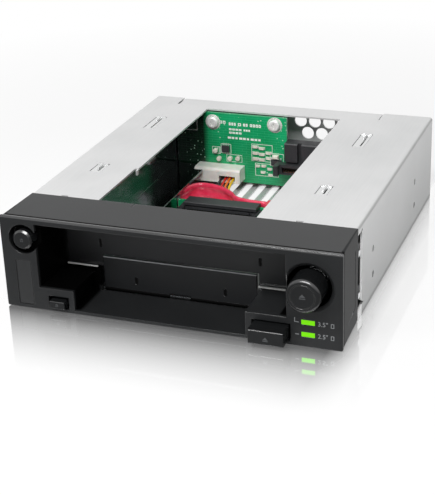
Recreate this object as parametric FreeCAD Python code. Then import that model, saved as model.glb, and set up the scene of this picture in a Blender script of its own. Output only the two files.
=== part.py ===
import FreeCAD, Part
import math
import os

V = FreeCAD.Vector

# Hot swap drive cage for one half-height 5.25 inch bay. It takes one 3.5 inch drive in the upper
# bay and one 2.5 inch drive in the lower bay. Millimetres, X to the right as seen from the front,
# Y to the rear, Z up. Every piece is drawn with y = 0 at the front edge of the sheet-metal case
# and z = 0 on its underside. save() then moves it so that the origin is the centre of the four
# bottom mounting holes.

# --- Driving dimensions -------------------------------------------------------------------
# half-height 5.25 inch device
CASE_W = 146.05
CASE_H = 41.3
CASE_L = 141.65
SHEET = 0.8
HOLE_PITCH = 79.25
HOLE_FRONT = 25.0
SIDE_HOLE_LOW = 10.0
SIDE_HOLE_HIGH = 21.84
BOTTOM_HOLE_SPAN = 139.7
HOLE_R = 1.5
ORIGIN_Y = HOLE_FRONT + HOLE_PITCH / 2

# bezel
BEZEL_W = 148.6
BEZEL_H = 41.9
BEZEL_FRONT = -27.5
BEZEL_STEP = -26.3
WALL = 1.5

# drive bays
BAY35_X = -4.4
BAY35_HALF = 52.0
BAY35_FLOOR = 12.2
BAY25_X = -3.9
BAY25_HALF = 35.5
RAIL_END = 112.0
LEDGE_FRONT = -1.8
LEFT_RAIL_END = 124.6
DOOR_T = 1.4
DOOR35_PIN_Y = -2.8
DOOR35_PIN_Z = 39.2
DOOR25_PIN_Y = -3.7
DOOR25_PIN_Z = 1.9
PIN_R = 0.5
RUNNING = 0.05

# bezel opening
OPEN_LEFT = -58.4
OPEN_RIGHT = 51.3
OPEN_TOP = 39.2
LEFT_SHELF = 10.4
RIGHT_SHELF = 12.1
SLOT_LEFT = -42.4
SLOT_RIGHT = 33.8
SLOT_FLOOR = 1.5

# push controls: centre x, centre z, how far they stand out, how far they travel
KNOB_X = 60.4
KNOB_Z = 26.1
KNOB_OUT = 8.5
KNOB_TRAVEL = 8.0
KNOB_R = 7.2
KNOB_BORE_R = 9.2
KNOB_RING_R = 11.2
KEY_X = 44.65
KEY_Z = 5.35
KEY_OUT = 7.6
KEY_TRAVEL = 7.0
KEY_W = 14.8
KEY_H = 6.2
KNOB_BORE_BACK = -10.0
KEY_RECESS_BACK = -12.0
POWER_X = -63.9
POWER_Z = 31.9
POWER_R = 4.4
POWER_OUT = 1.1
RELEASE_X = -49.6
RELEASE_Z = 4.0
RELEASE_OUT = 2.2
RELEASE_HALF = 3.5
PUSH_TRAVEL = 0.6
RELEASE_TRAVEL = 1.2
STEM_R = 3.0

# boards
BOARD_T = 1.6
REAR_BOARD_Y = 125.4
HEADER_L = -44.0
HEADER_R = -19.5
HEADER_FRONT = 117.2
BACKPLANE_Y = 82.0
SWITCH_BOARD_Y = -11.0

BOX_W = CASE_W / 2
RAIL35_L = BAY35_X - BAY35_HALF
RAIL35_R = BAY35_X + BAY35_HALF
RAIL25_L = BAY25_X - BAY25_HALF
RAIL25_R = BAY25_X + BAY25_HALF


# --- Small helpers ------------------------------------------------------------------------
def block(x0, x1, y0, y1, z0, z1):
    return Part.makeBox(x1 - x0, y1 - y0, z1 - z0, V(x0, y0, z0))


def bar(radius, start, end):
    run = V(*end) - V(*start)
    return Part.makeCylinder(radius, run.Length, V(*start), run)


def face_of(points):
    return Part.Face(Part.makePolygon([V(*p) for p in points + points[:1]]))


def along_y(outline, y0, y1):
    """Prism of an outline drawn in x and z."""
    return face_of([(x, y0, z) for x, z in outline]).extrude(V(0, y1 - y0, 0))


def along_z(outline, z0, z1):
    """Prism of an outline drawn in x and y."""
    return face_of([(x, y, z0) for x, y in outline]).extrude(V(0, 0, z1 - z0))


def along_x(outline, x0, x1):
    """Prism of an outline drawn in y and z."""
    return face_of([(x0, y, z) for y, z in outline]).extrude(V(x1 - x0, 0, 0))


def fused(shapes):
    whole = shapes[0].multiFuse(shapes[1:]) if len(shapes) > 1 else shapes[0]
    return whole.removeSplitter()


def without(shape, cutters):
    return shape.cut(cutters)


def edges_where(shape, wanted):
    """Edges whose ends and centre of mass all satisfy wanted(x, y, z)."""
    chosen = []
    for edge in shape.Edges:
        places = [vertex.Point for vertex in edge.Vertexes] + [edge.CenterOfMass]
        if all(wanted(*place) for place in places):
            chosen.append(edge)
    return chosen


def rounded(shape, radius, wanted):
    return shape.makeFillet(radius, edges_where(shape, wanted))


def bevelled(shape, size, wanted):
    return shape.makeChamfer(size, edges_where(shape, wanted))


def near(a, b):
    return abs(a - b) < 0.01


def coil(radius, wire_r, length, turns, start, axis):
    """Round-wire helical spring that starts at a point and runs along an axis."""
    helix = Part.makeHelix(length / turns, length, radius)
    ring = Part.Wire(Part.makeCircle(wire_r, V(radius, 0, 0), V(0, 1, 0)))
    spring = Part.Wire(helix).makePipeShell([ring], True, True)
    spring.Placement = FreeCAD.Placement(V(*start), FreeCAD.Rotation(V(0, 0, 1), V(*axis)))
    return spring


def tube_route(points, radius):
    """Round lead along straight runs joined by tangent arcs as large as the runs allow."""
    corners = [V(*p) for p in points]
    edges = []
    here = corners[0]
    for before, corner, after in zip(corners, corners[1:], corners[2:]):
        back = before - corner
        ahead = after - corner
        turn = math.pi - back.getAngle(ahead)
        setback = 0.45 * min(back.Length, ahead.Length)
        bend = setback / math.tan(turn / 2)
        back.normalize()
        ahead.normalize()
        enter = corner + back * setback
        leave = corner + ahead * setback
        inward = back + ahead
        inward.normalize()
        middle = corner + inward * (bend / math.cos(turn / 2) - bend)
        edges.append(Part.LineSegment(here, enter).toShape())
        edges.append(Part.Arc(enter, middle, leave).toShape())
        print("bend radius %.1f" % bend)
        here = leave
    edges.append(Part.LineSegment(here, corners[-1]).toShape())
    path = Part.Wire(edges)
    start = Part.Wire(Part.makeCircle(radius, corners[0], corners[1] - corners[0]))
    lead = path.makePipeShell([start], True, True)
    ratio = lead.Volume / (math.pi * radius ** 2 * path.Length)
    print("lead length %.1f, volume ratio %.4f" % (path.Length, ratio))
    return lead


def save(name, shape):
    placed = shape.copy()
    placed.translate(V(0, -ORIGIN_Y, 0))
    print(name, len(placed.Solids), "valid" if placed.isValid() else "INVALID")
    placed.exportStep("parts/%s.step" % name)


# --- Sheet-metal case ---------------------------------------------------------------------
WINDOW_REAR = 127.7
STRIP_FRONT = 131.7
STRIP_L = -57.6
STRIP_R = 48.8
HOOK_HALF = 2.8
HOOK_SPANS = [(30.6, 41.2), (92.0, 110.0)]
HOOK_PLATE = 41.15
HOOK_TOP = 41.75
SIDE_CUT = [(-1, 38.2), (6.0, 38.2), (6.0, 6.6), (8.6, 4.9), (-1, 4.0)]


def hook_slots():
    slots = []
    for x in (RAIL35_L - SHEET, RAIL35_R + SHEET):
        for y0, y1 in HOOK_SPANS:
            slots.append(block(x - HOOK_HALF, x + HOOK_HALF, y0, y1, CASE_H - 2, CASE_H + 1))
    return slots


def case_shell():
    """Top and both sides bent from one sheet, with the big window over the drive bays."""
    outer = block(-BOX_W, BOX_W, 0, CASE_L, 0, CASE_H)
    outer = rounded(outer, 1.4, lambda x, y, z: near(z, CASE_H) and near(abs(x), BOX_W))
    half = BOX_W - SHEET
    inner = block(-half, half, -1, CASE_L + 1, -1, CASE_H - SHEET)
    inner = rounded(inner, 0.6, lambda x, y, z: near(z, CASE_H - SHEET) and near(abs(x), half))
    shell = outer.cut(inner)
    window = [(-41.0, -1), (30.2, -1), (30.2, WINDOW_REAR), (-39.5, WINDOW_REAR),
              (-39.5, 39.2), (-41.0, 39.2)]
    cuts = [along_z(window, CASE_H - 2, CASE_H + 1)]
    cuts.append(block(STRIP_L, STRIP_R, STRIP_FRONT, CASE_L + 1, CASE_H - 2, CASE_H + 1))
    cuts.append(along_x(SIDE_CUT, -BOX_W - 1, BOX_W + 1))
    cuts.append(bar(0.8, (-BOX_W - 1, 6.0, 38.2), (BOX_W + 1, 6.0, 38.2)))
    cuts += hook_slots()
    for y in (HOLE_FRONT, HOLE_FRONT + HOLE_PITCH):
        for z in (SIDE_HOLE_LOW, SIDE_HOLE_HIGH):
            cuts.append(bar(HOLE_R, (-BOX_W - 1, y, z), (BOX_W + 1, y, z)))
    for x in (RAIL35_L - SHEET, RAIL35_R + SHEET):
        cuts.append(block(x - 1.6, x + 1.6, -1, 1.0, CASE_H - 2, CASE_H + 1))
    # small stop tab bent down from the left edge of the window
    tab = block(-40.3, -39.5, 37.8, 39.2, CASE_H - 2.8, CASE_H - SHEET + 0.2)
    return fused([without(shell, cuts), tab])


FLOOR_HALF = BOX_W - SHEET - 0.05
FLOOR_SLOTS = 6
FLOOR_SLOT_R = 2.0
FLOOR_SLOT_PITCH = 7.05
FLOOR_SLOT_ENDS = (105.0, 130.3)


def floor_plate():
    """Flat bottom with side lips, vent slots behind the lower bay and the bottom holes."""
    pieces = [block(-FLOOR_HALF, FLOOR_HALF, 0.1, CASE_L - 0.9, 0, SHEET)]
    for side in (-1, 1):
        for y0, y1 in ((34, 95), (112, 138)):
            x0, x1 = sorted((side * FLOOR_HALF, side * (FLOOR_HALF - SHEET)))
            pieces.append(block(x0, x1, y0, y1, 0, 6))
    plate = fused(pieces)
    cuts = []
    for x in (-BOTTOM_HOLE_SPAN / 2, BOTTOM_HOLE_SPAN / 2):
        for y in (HOLE_FRONT, HOLE_FRONT + HOLE_PITCH):
            cuts.append(bar(HOLE_R, (x, y, -1), (x, y, 2)))
    y0, y1 = FLOOR_SLOT_ENDS
    for index in range(FLOOR_SLOTS):
        x = -26.0 + index * FLOOR_SLOT_PITCH
        cuts.append(block(x - FLOOR_SLOT_R, x + FLOOR_SLOT_R, y0, y1, -1, 2))
        cuts.append(bar(FLOOR_SLOT_R, (x, y0, -1), (x, y0, 2)))
        cuts.append(bar(FLOOR_SLOT_R, (x, y1, -1), (x, y1, 2)))
    for x in (-48, 52):
        cuts.append(bar(1.5, (x, CASE_L - 5.5, -1), (x, CASE_L - 5.5, 2)))
    return without(plate, cuts)


VENT_PITCH = 7.4
VENT_ROW = 6.3
VENT_R = 3.15
VENT_ROWS = 2
DATA_X = [-52.0, -36.0]
POWER_SOCKET_X = -15.0
PANEL_Y = CASE_L - SHEET


def rear_panel():
    """Rear wall with two staggered rows of round vents, socket cut-outs and two flanges."""
    half = BOX_W - SHEET - 0.1
    strip_top = CASE_H - 0.4
    pieces = [block(-half, half, PANEL_Y, CASE_L, 0.85, 39.6)]
    pieces.append(block(STRIP_L + 0.7, STRIP_R - 0.7, PANEL_Y, CASE_L, 39.0, strip_top))
    pieces.append(block(STRIP_L + 0.7, STRIP_R - 0.7, STRIP_FRONT + 0.3, CASE_L,
                        strip_top - SHEET, strip_top))
    pieces.append(block(-60, 60, CASE_L - 9, CASE_L, 0.85, 0.85 + SHEET))
    panel = fused(pieces)
    cuts = []
    for row in range(VENT_ROWS):
        for column in range(9):
            x = 5.9 + column * VENT_PITCH + row * VENT_PITCH / 2
            if x < 67:
                z = 34.4 - row * VENT_ROW
                cuts.append(bar(VENT_R, (x, PANEL_Y - 1, z), (x, CASE_L + 1, z)))
    for x in DATA_X:
        cuts.append(block(x - 7.6, x + 7.6, PANEL_Y - 1, CASE_L + 1, 21.2, 30.8))
    cuts.append(block(POWER_SOCKET_X - 12.6, POWER_SOCKET_X + 12.6, PANEL_Y - 1, CASE_L + 1,
                      21.2, 30.8))
    for x in (-48, 52):
        cuts.append(bar(1.55, (x, CASE_L - 5.5, 0), (x, CASE_L - 5.5, 2)))
    return without(panel, cuts)


def panel_screws():
    screws = []
    for x in (-48, 52):
        shank = bar(1.45, (x, CASE_L - 5.5, 0.1), (x, CASE_L - 5.5, 1.7))
        head = bar(2.8, (x, CASE_L - 5.5, 1.65), (x, CASE_L - 5.5, 3.6))
        cross = [block(x - 1.4, x + 1.4, CASE_L - 5.8, CASE_L - 5.2, 2.8, 4),
                 block(x - 0.3, x + 0.3, CASE_L - 6.9, CASE_L - 4.1, 2.8, 4)]
        screws.append(without(fused([shank, head]), cross))
    return Part.makeCompound(screws)


LEDGE_GAP = {-1: 2.1, 1: 0.1}


def rail(side):
    """Stepped guide: lower wall, ledge that carries the 3.5 inch drive, upper wall and hooks."""
    if side < 0:
        lower, upper, end = RAIL25_L, RAIL35_L, LEFT_RAIL_END
    else:
        lower, upper, end = RAIL25_R, RAIL35_R, RAIL_END
    out = side * SHEET
    top = BAY35_FLOOR
    profile = [(lower, 0.85), (lower, top), (upper, top), (upper, 40.4), (upper + out, 40.4),
               (upper + out, top - SHEET), (lower + out, top - SHEET), (lower + out, 0.85)]
    pieces = [along_y(profile, 2.0, end)]
    x0, x1 = sorted((lower, lower + side * 6))
    pieces.append(block(x0, x1, 20, 68, 0.85, 0.85 + SHEET))
    # the ledge runs forward into the bezel, under the door of the upper bay
    x0, x1 = sorted((lower + side * LEDGE_GAP[side], upper - side * 0.1))
    pieces.append(block(x0, x1, LEDGE_FRONT, 2.5, top - SHEET, top))
    x0, x1 = sorted((upper, upper + out))
    centre = upper + out
    for y0, y1 in HOOK_SPANS:
        pieces.append(block(x0, x1, y0 + 0.6, y1 - 0.6, 40.0, 40.95))
        pieces.append(block(centre - 2.6, centre + 2.6, y0 + 0.2, y1 - 0.2, 40.45, HOOK_PLATE))
        # head and shank of the raised T hook
        pieces.append(block(centre - 2.5, centre + 2.5, y1 - 1.5, y1 - 0.4, 40.45, HOOK_TOP))
        pieces.append(block(centre - 0.5, centre + 0.3, y1 - 7.0, y1 - 1.2, 40.45, HOOK_TOP))
    body = fused(pieces)
    cuts = []
    for y0, y1 in HOOK_SPANS:
        cuts.append(block(centre + 0.5, centre + 1.2, y0 + 1.6, y1 - 2.4, 39.5, 42))
    if side > 0:
        cuts.append(block(lower - 1, lower + out + 1, 71.5, 87.0, 3.0, 9.6))
    else:
        cuts.append(block(lower - 1, lower + 1, 86.0, end + 1, 0, 10.9))
        # the ledge makes way for the power header at its rear end
        cuts.append(block(HEADER_L - 0.4, lower + 1, HEADER_FRONT - 0.4, end + 1, 0, top + 1))
    return without(body, cuts)


# --- Bezel --------------------------------------------------------------------------------
def duct_plan(grow):
    """Plan outline of the tapered way from the front opening back to the 3.5 inch door."""
    y0 = BEZEL_FRONT - 1 if grow == 0 else BEZEL_FRONT + 1
    y1 = 0.5 if grow == 0 else -0.5
    return [(OPEN_LEFT - grow, y0), (OPEN_RIGHT + grow, y0),
            (RAIL35_R + grow, y1), (RAIL35_L - grow, y1)]


def bezel():
    half = BEZEL_W / 2
    front = block(-half, half, BEZEL_FRONT, BEZEL_STEP, 0, BEZEL_H)
    front = rounded(front, 0.8, lambda x, y, z: near(abs(x), half) and (z < 0.1 or z > 41.8))
    front = rounded(front, 0.4, lambda x, y, z: near(y, BEZEL_FRONT))
    # the hood behind the lip tapers down to the width of the case
    shell = along_z([(-73.8, BEZEL_STEP), (73.8, BEZEL_STEP), (72.95, 0), (-72.95, 0)], 0.2, 41.3)
    shell = rounded(shell, 0.4, lambda x, y, z: near(z, 41.3) and abs(x) > 72)
    hollow = block(-71.2, 71.2, BEZEL_FRONT + 3, 0.1, 2.0, 39.8)
    frame = fused([front, shell]).cut(hollow)
    # tapered duct of the upper bay, stepped duct of the lower bay
    left_plan = [(OPEN_LEFT - WALL, BEZEL_FRONT + 1), (SLOT_LEFT, BEZEL_FRONT + 1),
                 (SLOT_LEFT, -0.5), (RAIL35_L - WALL, -0.5)]
    pieces = [frame,
              along_z(duct_plan(WALL), RIGHT_SHELF - WALL, 40.6),
              along_z(left_plan, LEFT_SHELF - WALL, RIGHT_SHELF),
              block(SLOT_LEFT - WALL, SLOT_RIGHT + WALL, BEZEL_FRONT + 1, -0.5, 0.3, 13)]
    # round boss of the large knob and square boss of the lower key
    pieces.append(bar(KNOB_RING_R, (KNOB_X, BEZEL_FRONT, KNOB_Z), (KNOB_X, -8, KNOB_Z)))
    pieces.append(block(35.3, 54.3, BEZEL_FRONT + 1, -9, 0.3, 10.6))
    pieces.append(bar(7.9, (POWER_X, BEZEL_FRONT + 1, POWER_Z), (POWER_X, -17.5, POWER_Z)))
    pieces.append(block(-55.6, -44.0, BEZEL_FRONT + 1, -17.5, 0.3, 8.9))
    body = fused(pieces)
    left_way = [(OPEN_LEFT, BEZEL_FRONT - 1), (SLOT_LEFT + 1, BEZEL_FRONT - 1),
                (SLOT_LEFT + 1, 0.5), (RAIL35_L, 0.5)]
    cuts = [along_z(duct_plan(0), RIGHT_SHELF, OPEN_TOP),
            along_z(left_way, LEFT_SHELF, 13),
            block(SLOT_LEFT, SLOT_RIGHT, BEZEL_FRONT - 1, -6.4, SLOT_FLOOR, 13),
            block(RAIL25_L - 0.1, RAIL25_R + 0.1, -7, 1, SLOT_FLOOR, 13)]
    body = without(body, cuts)
    # pocket for the upper hinge, trough for the lower hinge, rear clearance of the floor
    cuts = [block(RAIL35_L, RAIL35_R, -4.4, 1, 36, 40.5),
            block(RAIL25_L - 0.1, RAIL25_R + 0.1, -5.3, 1, 0.75, 3),
            block(RAIL25_R, RAIL35_R, LEDGE_FRONT - 0.2, 1, BAY35_FLOOR - SHEET - 0.1, 13),
            bar(PIN_R, (RAIL35_L - 1.2, DOOR35_PIN_Y, DOOR35_PIN_Z),
                (RAIL35_R + 1.2, DOOR35_PIN_Y, DOOR35_PIN_Z)),
            bar(PIN_R, (RAIL25_L - 1.3, DOOR25_PIN_Y, DOOR25_PIN_Z),
                (RAIL25_R + 1.3, DOOR25_PIN_Y, DOOR25_PIN_Z))]
    # knob bore with a stepped outer ring
    cuts.append(bar(KNOB_BORE_R, (KNOB_X, BEZEL_FRONT - 1, KNOB_Z),
                    (KNOB_X, KNOB_BORE_BACK, KNOB_Z)))
    cuts.append(bar(STEM_R + RUNNING, (KNOB_X, -11, KNOB_Z), (KNOB_X, -7, KNOB_Z)))
    ring = Part.makeCone(KNOB_RING_R - 0.6, KNOB_BORE_R, 1.2, V(KNOB_X, BEZEL_FRONT, KNOB_Z),
                         V(0, 1, 0))
    cuts.append(ring)
    # key recess and guide
    cuts.append(block(36.5, 52.8, BEZEL_FRONT - 1, KEY_RECESS_BACK, 1.4, 9.3))
    cuts.append(block(KEY_X - 3.05, KEY_X + 3.05, -13, -8, KEY_Z - 1.55, KEY_Z + 1.55))
    # power button recess and its bore
    cuts.append(bar(6.6, (POWER_X, BEZEL_FRONT - 1, POWER_Z), (POWER_X, -22.5, POWER_Z)))
    cuts.append(bar(POWER_R + RUNNING, (POWER_X, -28, POWER_Z), (POWER_X, -17, POWER_Z)))
    # release button recess and its way
    cuts.append(block(-54.3, -44.9, BEZEL_FRONT - 1, -23.5, 1.5, 7.1))
    cuts.append(block(RELEASE_X - RELEASE_HALF - RUNNING, RELEASE_X + RELEASE_HALF + RUNNING, -28,
                      -17, RELEASE_Z - 1.75, RELEASE_Z + 1.75))
    # seat of the blank insert, light windows
    cuts.append(block(-68.45, -61.3, BEZEL_FRONT - 1, -26.3, 1.6, 22.3))
    cuts.append(block(-66.9, -62.9, -28, -24, 5, 19))
    for z in (10.9, 5.5):
        cuts.append(block(57.3, 62.9, BEZEL_FRONT - 1, -24, z - 1.05, z + 1.05))
    # slit in the top edge, rear snap grooves in both sides
    cuts.append(block(-24.6, -24.0, -3.6, 0.1, 40.9, 42))
    for side in (-1, 1):
        x0, x1 = sorted((side * 73.2, side * 72.4))
        groove = [(-4.4, 33.4), (-4.4, 7.9), (-19.2, 5.2), (-19.4, 5.9), (-5.1, 8.5),
                  (-5.1, 33.4)]
        cuts.append(along_x(groove, x0, x1))
    body = without(body, cuts)
    # snap tongues that reach inside the case walls
    tongues = []
    for side in (-1, 1):
        x0, x1 = sorted((side * 72.15, side * 70.65))
        tongues.append(block(x0, x1, -1.0, 7.5, 8.5, 14.0))
        tongues.append(block(x0, x1, -1.0, 7.5, 27.0, 33.0))
    return fused([body] + tongues)


def case_clips():
    """Two small spring clips per side, on the bezel's tongues in the case cut-outs."""
    clips = []
    for side in (-1, 1):
        for z in (10.6, 29.6):
            x0, x1 = sorted((side * 72.2, side * 73.0))
            clips.append(block(x0, x1, 0.6, 3.4, z - 1.3, z + 1.3))
    return Part.makeCompound(clips)


def blank_insert():
    plate = block(-68.25, -61.5, BEZEL_FRONT + 0.15, -26.3, 1.8, 22.1)
    peg = block(-66.8, -63.0, -26.5, -24.6, 5.1, 18.9)
    return fused([plate, peg])


# --- Doors --------------------------------------------------------------------------------
def upper_door():
    """Door of the 3.5 inch bay: notched at the bottom and hung on a pin along its top."""
    left = BAY35_X - 51.4
    right = BAY35_X + 51.4
    notch_l = BAY25_X - 35.4
    notch_r = BAY25_X + 35.8
    foot = 12.45
    head = 17.7
    outline = [(left, foot), (notch_l, foot), (notch_l, head), (notch_r, head),
               (notch_r, foot), (right, foot), (right, DOOR35_PIN_Z), (left, DOOR35_PIN_Z)]
    y0 = DOOR35_PIN_Y - DOOR_T / 2
    plate = along_y(outline, y0, y0 + DOOR_T)
    pieces = [plate]
    for x0, x1 in ((left, left + 9), (right - 9, right)):
        pieces.append(bar(1.0, (x0, DOOR35_PIN_Y, DOOR35_PIN_Z), (x1, DOOR35_PIN_Y, DOOR35_PIN_Z)))
    for x0, x1 in ((left, notch_l), (notch_r, right)):
        pieces.append(block(x0, x1, y0 - 0.7, y0 + 0.2, foot, foot + 0.9))
    door = fused(pieces)
    cuts = [bar(PIN_R + RUNNING, (left - 1, DOOR35_PIN_Y, DOOR35_PIN_Z),
                (right + 1, DOOR35_PIN_Y, DOOR35_PIN_Z)),
            block(left + 9, right - 9, -5, 0, DOOR35_PIN_Z - 1.3, DOOR35_PIN_Z + 2)]
    for x in (-39.9, 32.5):
        cuts.append(Part.makeSphere(1.1, V(x, y0 - 0.7, 22.9)))
    return without(door, cuts)


SPRING25_SPAN = (-8.2, 0.8)


def lower_door():
    """Door of the 2.5 inch bay: stands on a pin along its bottom edge and folds inward."""
    left = BAY25_X - 34.9
    right = BAY25_X + 34.9
    top = 17.2
    y0 = DOOR25_PIN_Y - DOOR_T / 2
    pieces = [block(left, right, y0, y0 + DOOR_T, DOOR25_PIN_Z, top)]
    pieces[0] = rounded(pieces[0], 0.5, lambda x, y, z: near(z, top) and near(y, y0))
    pieces.append(bar(1.0, (left, DOOR25_PIN_Y, DOOR25_PIN_Z), (right, DOOR25_PIN_Y, DOOR25_PIN_Z)))
    door = fused(pieces)
    gap_l, gap_r = SPRING25_SPAN
    cuts = [bar(PIN_R + RUNNING, (left - 1, DOOR25_PIN_Y, DOOR25_PIN_Z),
                (right + 1, DOOR25_PIN_Y, DOOR25_PIN_Z)),
            block(gap_l - 0.3, gap_r + 0.3, -6, -1, 0, DOOR25_PIN_Z + 1.3)]
    for x in (-23.7, 16.9):
        cuts.append(Part.makeSphere(1.1, V(x, y0 - 0.7, 7.2)))
    return without(door, cuts)


def upper_door_springs():
    """Pair of closing coils on the upper hinge pin, beside the door's two knuckles."""
    springs = []
    for start in (BAY35_X - 41.8, BAY35_X + 34.8):
        springs.append(coil(0.82, 0.2, 7, 7, (start, DOOR35_PIN_Y, DOOR35_PIN_Z), (1, 0, 0)))
    return Part.makeCompound(springs)


def lower_door_spring():
    """Closing coil on the lower hinge pin, in the gap of the door's knuckle."""
    gap_l, gap_r = SPRING25_SPAN
    return coil(0.83, 0.22, gap_r - gap_l, 12, (gap_l, DOOR25_PIN_Y, DOOR25_PIN_Z), (1, 0, 0))


# --- Push controls and eject linkage ------------------------------------------------------
KNOB_FACE = BEZEL_FRONT - KNOB_OUT
KNOB_BACK = -24.4
KNOB_HOLLOW = 7.0
KNOB_RING_GROOVE = 5.1
PIVOT35 = (52.0, 117.0)
PIN35_Y = 113.0
KEY_FACE = BEZEL_FRONT - KEY_OUT
KEY_BACK = -24.0
KEY_HOLLOW = 7.0
PIVOT25 = (36.9, 78.0)
PIN25_Y = 74.5


def eject_knob():
    """Round knob that ejects the 3.5 inch drive: rounded cap, ring groove and hollow back."""
    cap = bar(KNOB_R, (KNOB_X, KNOB_FACE, KNOB_Z), (KNOB_X, KNOB_BACK, KNOB_Z))
    cap = rounded(cap, 1.6, lambda x, y, z: near(y, KNOB_FACE))
    start = (KNOB_X, KNOB_FACE - 1, KNOB_Z)
    end = (KNOB_X, KNOB_FACE + 0.25, KNOB_Z)
    groove = bar(KNOB_RING_GROOVE + 0.15, start, end)
    groove = groove.cut(bar(KNOB_RING_GROOVE - 0.15, start, end))
    hollow = bar(KNOB_R - 1.6, (KNOB_X, KNOB_BACK - KNOB_HOLLOW, KNOB_Z),
                 (KNOB_X, KNOB_BACK + 1, KNOB_Z))
    stem = bar(STEM_R, (KNOB_X, KNOB_BACK - 8, KNOB_Z), (KNOB_X, -6.5, KNOB_Z))
    key = block(KNOB_X - 1.0, KNOB_X + 1.0, -8.6, -6, KNOB_Z - 4, KNOB_Z + 4)
    return without(fused([cap.cut(hollow), stem]), [key, groove])


def eject_spring_35():
    """Return coil around the knob's stem, from its hollow to the back of the bore."""
    wire_r = 0.35
    start = KNOB_BACK - KNOB_HOLLOW + wire_r
    return coil(4.3, wire_r, KNOB_BORE_BACK - wire_r - start, 8, (KNOB_X, start, KNOB_Z),
                (0, 1, 0))


def eject_bar_35():
    """Steel bar from the knob to the rear lever, with a bent foot that carries a drive pin."""
    pieces = [block(KNOB_X - 0.9, KNOB_X + 0.9, -8.4, 0, KNOB_Z - 2, KNOB_Z + 2),
              block(KNOB_X - 0.6, KNOB_X + 0.6, -1, 110.5, KNOB_Z - 4, KNOB_Z + 4),
              block(KNOB_X - 0.6, KNOB_X + 0.6, 104, 110.5, 18.2, KNOB_Z - 3),
              block(KNOB_X - 2.2, KNOB_X + 2.2, 104, PIN35_Y + 2.2, 18.2, 19.4),
              bar(1.2, (KNOB_X, PIN35_Y, 14.6), (KNOB_X, PIN35_Y, 18.4))]
    return fused(pieces)


def eject_key():
    """Flat key that ejects the 2.5 inch drive."""
    x0, x1 = KEY_X - KEY_W / 2, KEY_X + KEY_W / 2
    z0, z1 = KEY_Z - KEY_H / 2, KEY_Z + KEY_H / 2
    cap = block(x0, x1, KEY_FACE, KEY_BACK, z0, z1)
    cap = rounded(cap, 0.5, lambda x, y, z: near(y, KEY_FACE))
    hollow = block(x0 + 1.4, x1 - 1.4, KEY_BACK - KEY_HOLLOW, KEY_BACK + 1, z0 + 1.4, z1 - 1.4)
    stem = block(KEY_X - 3.0, KEY_X + 3.0, KEY_BACK - 8, -8.5, KEY_Z - 1.5, KEY_Z + 1.5)
    return fused([cap.cut(hollow), stem])


def eject_springs_25():
    """Two return coils, one each side of the key's stem, in its hollow."""
    wire_r = 0.2
    start = KEY_BACK - KEY_HOLLOW + wire_r
    length = KEY_RECESS_BACK - wire_r - start
    springs = []
    for x in (KEY_X - 4.5, KEY_X + 4.5):
        springs.append(coil(1.1, wire_r, length, 12, (x, start, KEY_Z), (0, 1, 0)))
    return Part.makeCompound(springs)


def eject_bar_25():
    pieces = [block(KEY_X - 0.6, KEY_X + 0.6, -8.5, 71, 2.4, 8.2),
              block(KEY_X - 0.6, KEY_X + 0.6, 64, 71, 8.0, 9.8),
              block(KEY_X - 2.2, KEY_X + 2.2, 64, PIN25_Y + 2.2, 8.6, 9.8),
              bar(1.2, (KEY_X, PIN25_Y, 4.6), (KEY_X, PIN25_Y, 8.8))]
    return fused(pieces)


def lever(pivot, pin, tip, z0, z1):
    """Two-armed lever: round hub, one arm slotted for the bar's pin, one arm that pushes."""
    def arm(end, width):
        run = V(end[0] - pivot[0], end[1] - pivot[1], 0)
        side = V(-run.y, run.x, 0)
        side.normalize()
        side = side * (width / 2)
        a = V(pivot[0], pivot[1], 0)
        b = V(end[0], end[1], 0)
        corners = [a + side, b + side, b - side, a - side]
        plate = along_z([(p.x, p.y) for p in corners], z0, z1)
        return fused([plate, bar(width / 2, (b.x, b.y, z0), (b.x, b.y, z1))])

    hub = bar(3.6, (pivot[0], pivot[1], z0), (pivot[0], pivot[1], z1))
    run = V(pin[0] - pivot[0], pin[1] - pivot[1], 0)
    unit = V(run)
    unit.normalize()
    reach = V(pin[0], pin[1], 0) + unit * 1.6
    body = fused([hub, arm((reach.x, reach.y), 5.0), arm(tip, 3.4)])
    across = V(-unit.y, unit.x, 0) * 1.32
    slot_a = V(pin[0], pin[1], 0) - unit * 1.3
    slot_b = V(pin[0], pin[1], 0) + unit * 0.4
    corners = [slot_a + across, slot_b + across, slot_b - across, slot_a - across]
    slot = fused([along_z([(p.x, p.y) for p in corners], z0 - 1, z1 + 1),
                  bar(1.32, (slot_a.x, slot_a.y, z0 - 1), (slot_a.x, slot_a.y, z1 + 1)),
                  bar(1.32, (slot_b.x, slot_b.y, z0 - 1), (slot_b.x, slot_b.y, z1 + 1))])
    bore = bar(2.0 + RUNNING, (pivot[0], pivot[1], z0 - 1), (pivot[0], pivot[1], z1 + 1))
    return without(body, [slot, bore])


def pivot_post(pivot, seat, top):
    """Shouldered post riveted to the floor, with a head that keeps the lever on."""
    x, y = pivot
    pieces = [bar(3.4, (x, y, 0.85), (x, y, seat - 0.1)),
              bar(2.0, (x, y, 0.85), (x, y, top + 0.2)),
              bar(3.0, (x, y, top + 0.1), (x, y, top + 0.9))]
    return fused(pieces)


PLUNGER_Y = SWITCH_BOARD_Y - 4.6


def power_button():
    cap = bar(POWER_R, (POWER_X, BEZEL_FRONT - POWER_OUT, POWER_Z), (POWER_X, -18.2, POWER_Z))
    cap = bevelled(cap, 0.8, lambda x, y, z: near(y, BEZEL_FRONT - POWER_OUT))
    nub = bar(1.2, (POWER_X, -19, POWER_Z), (POWER_X, PLUNGER_Y - 0.1 - PUSH_TRAVEL, POWER_Z))
    return fused([cap, nub])


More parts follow.
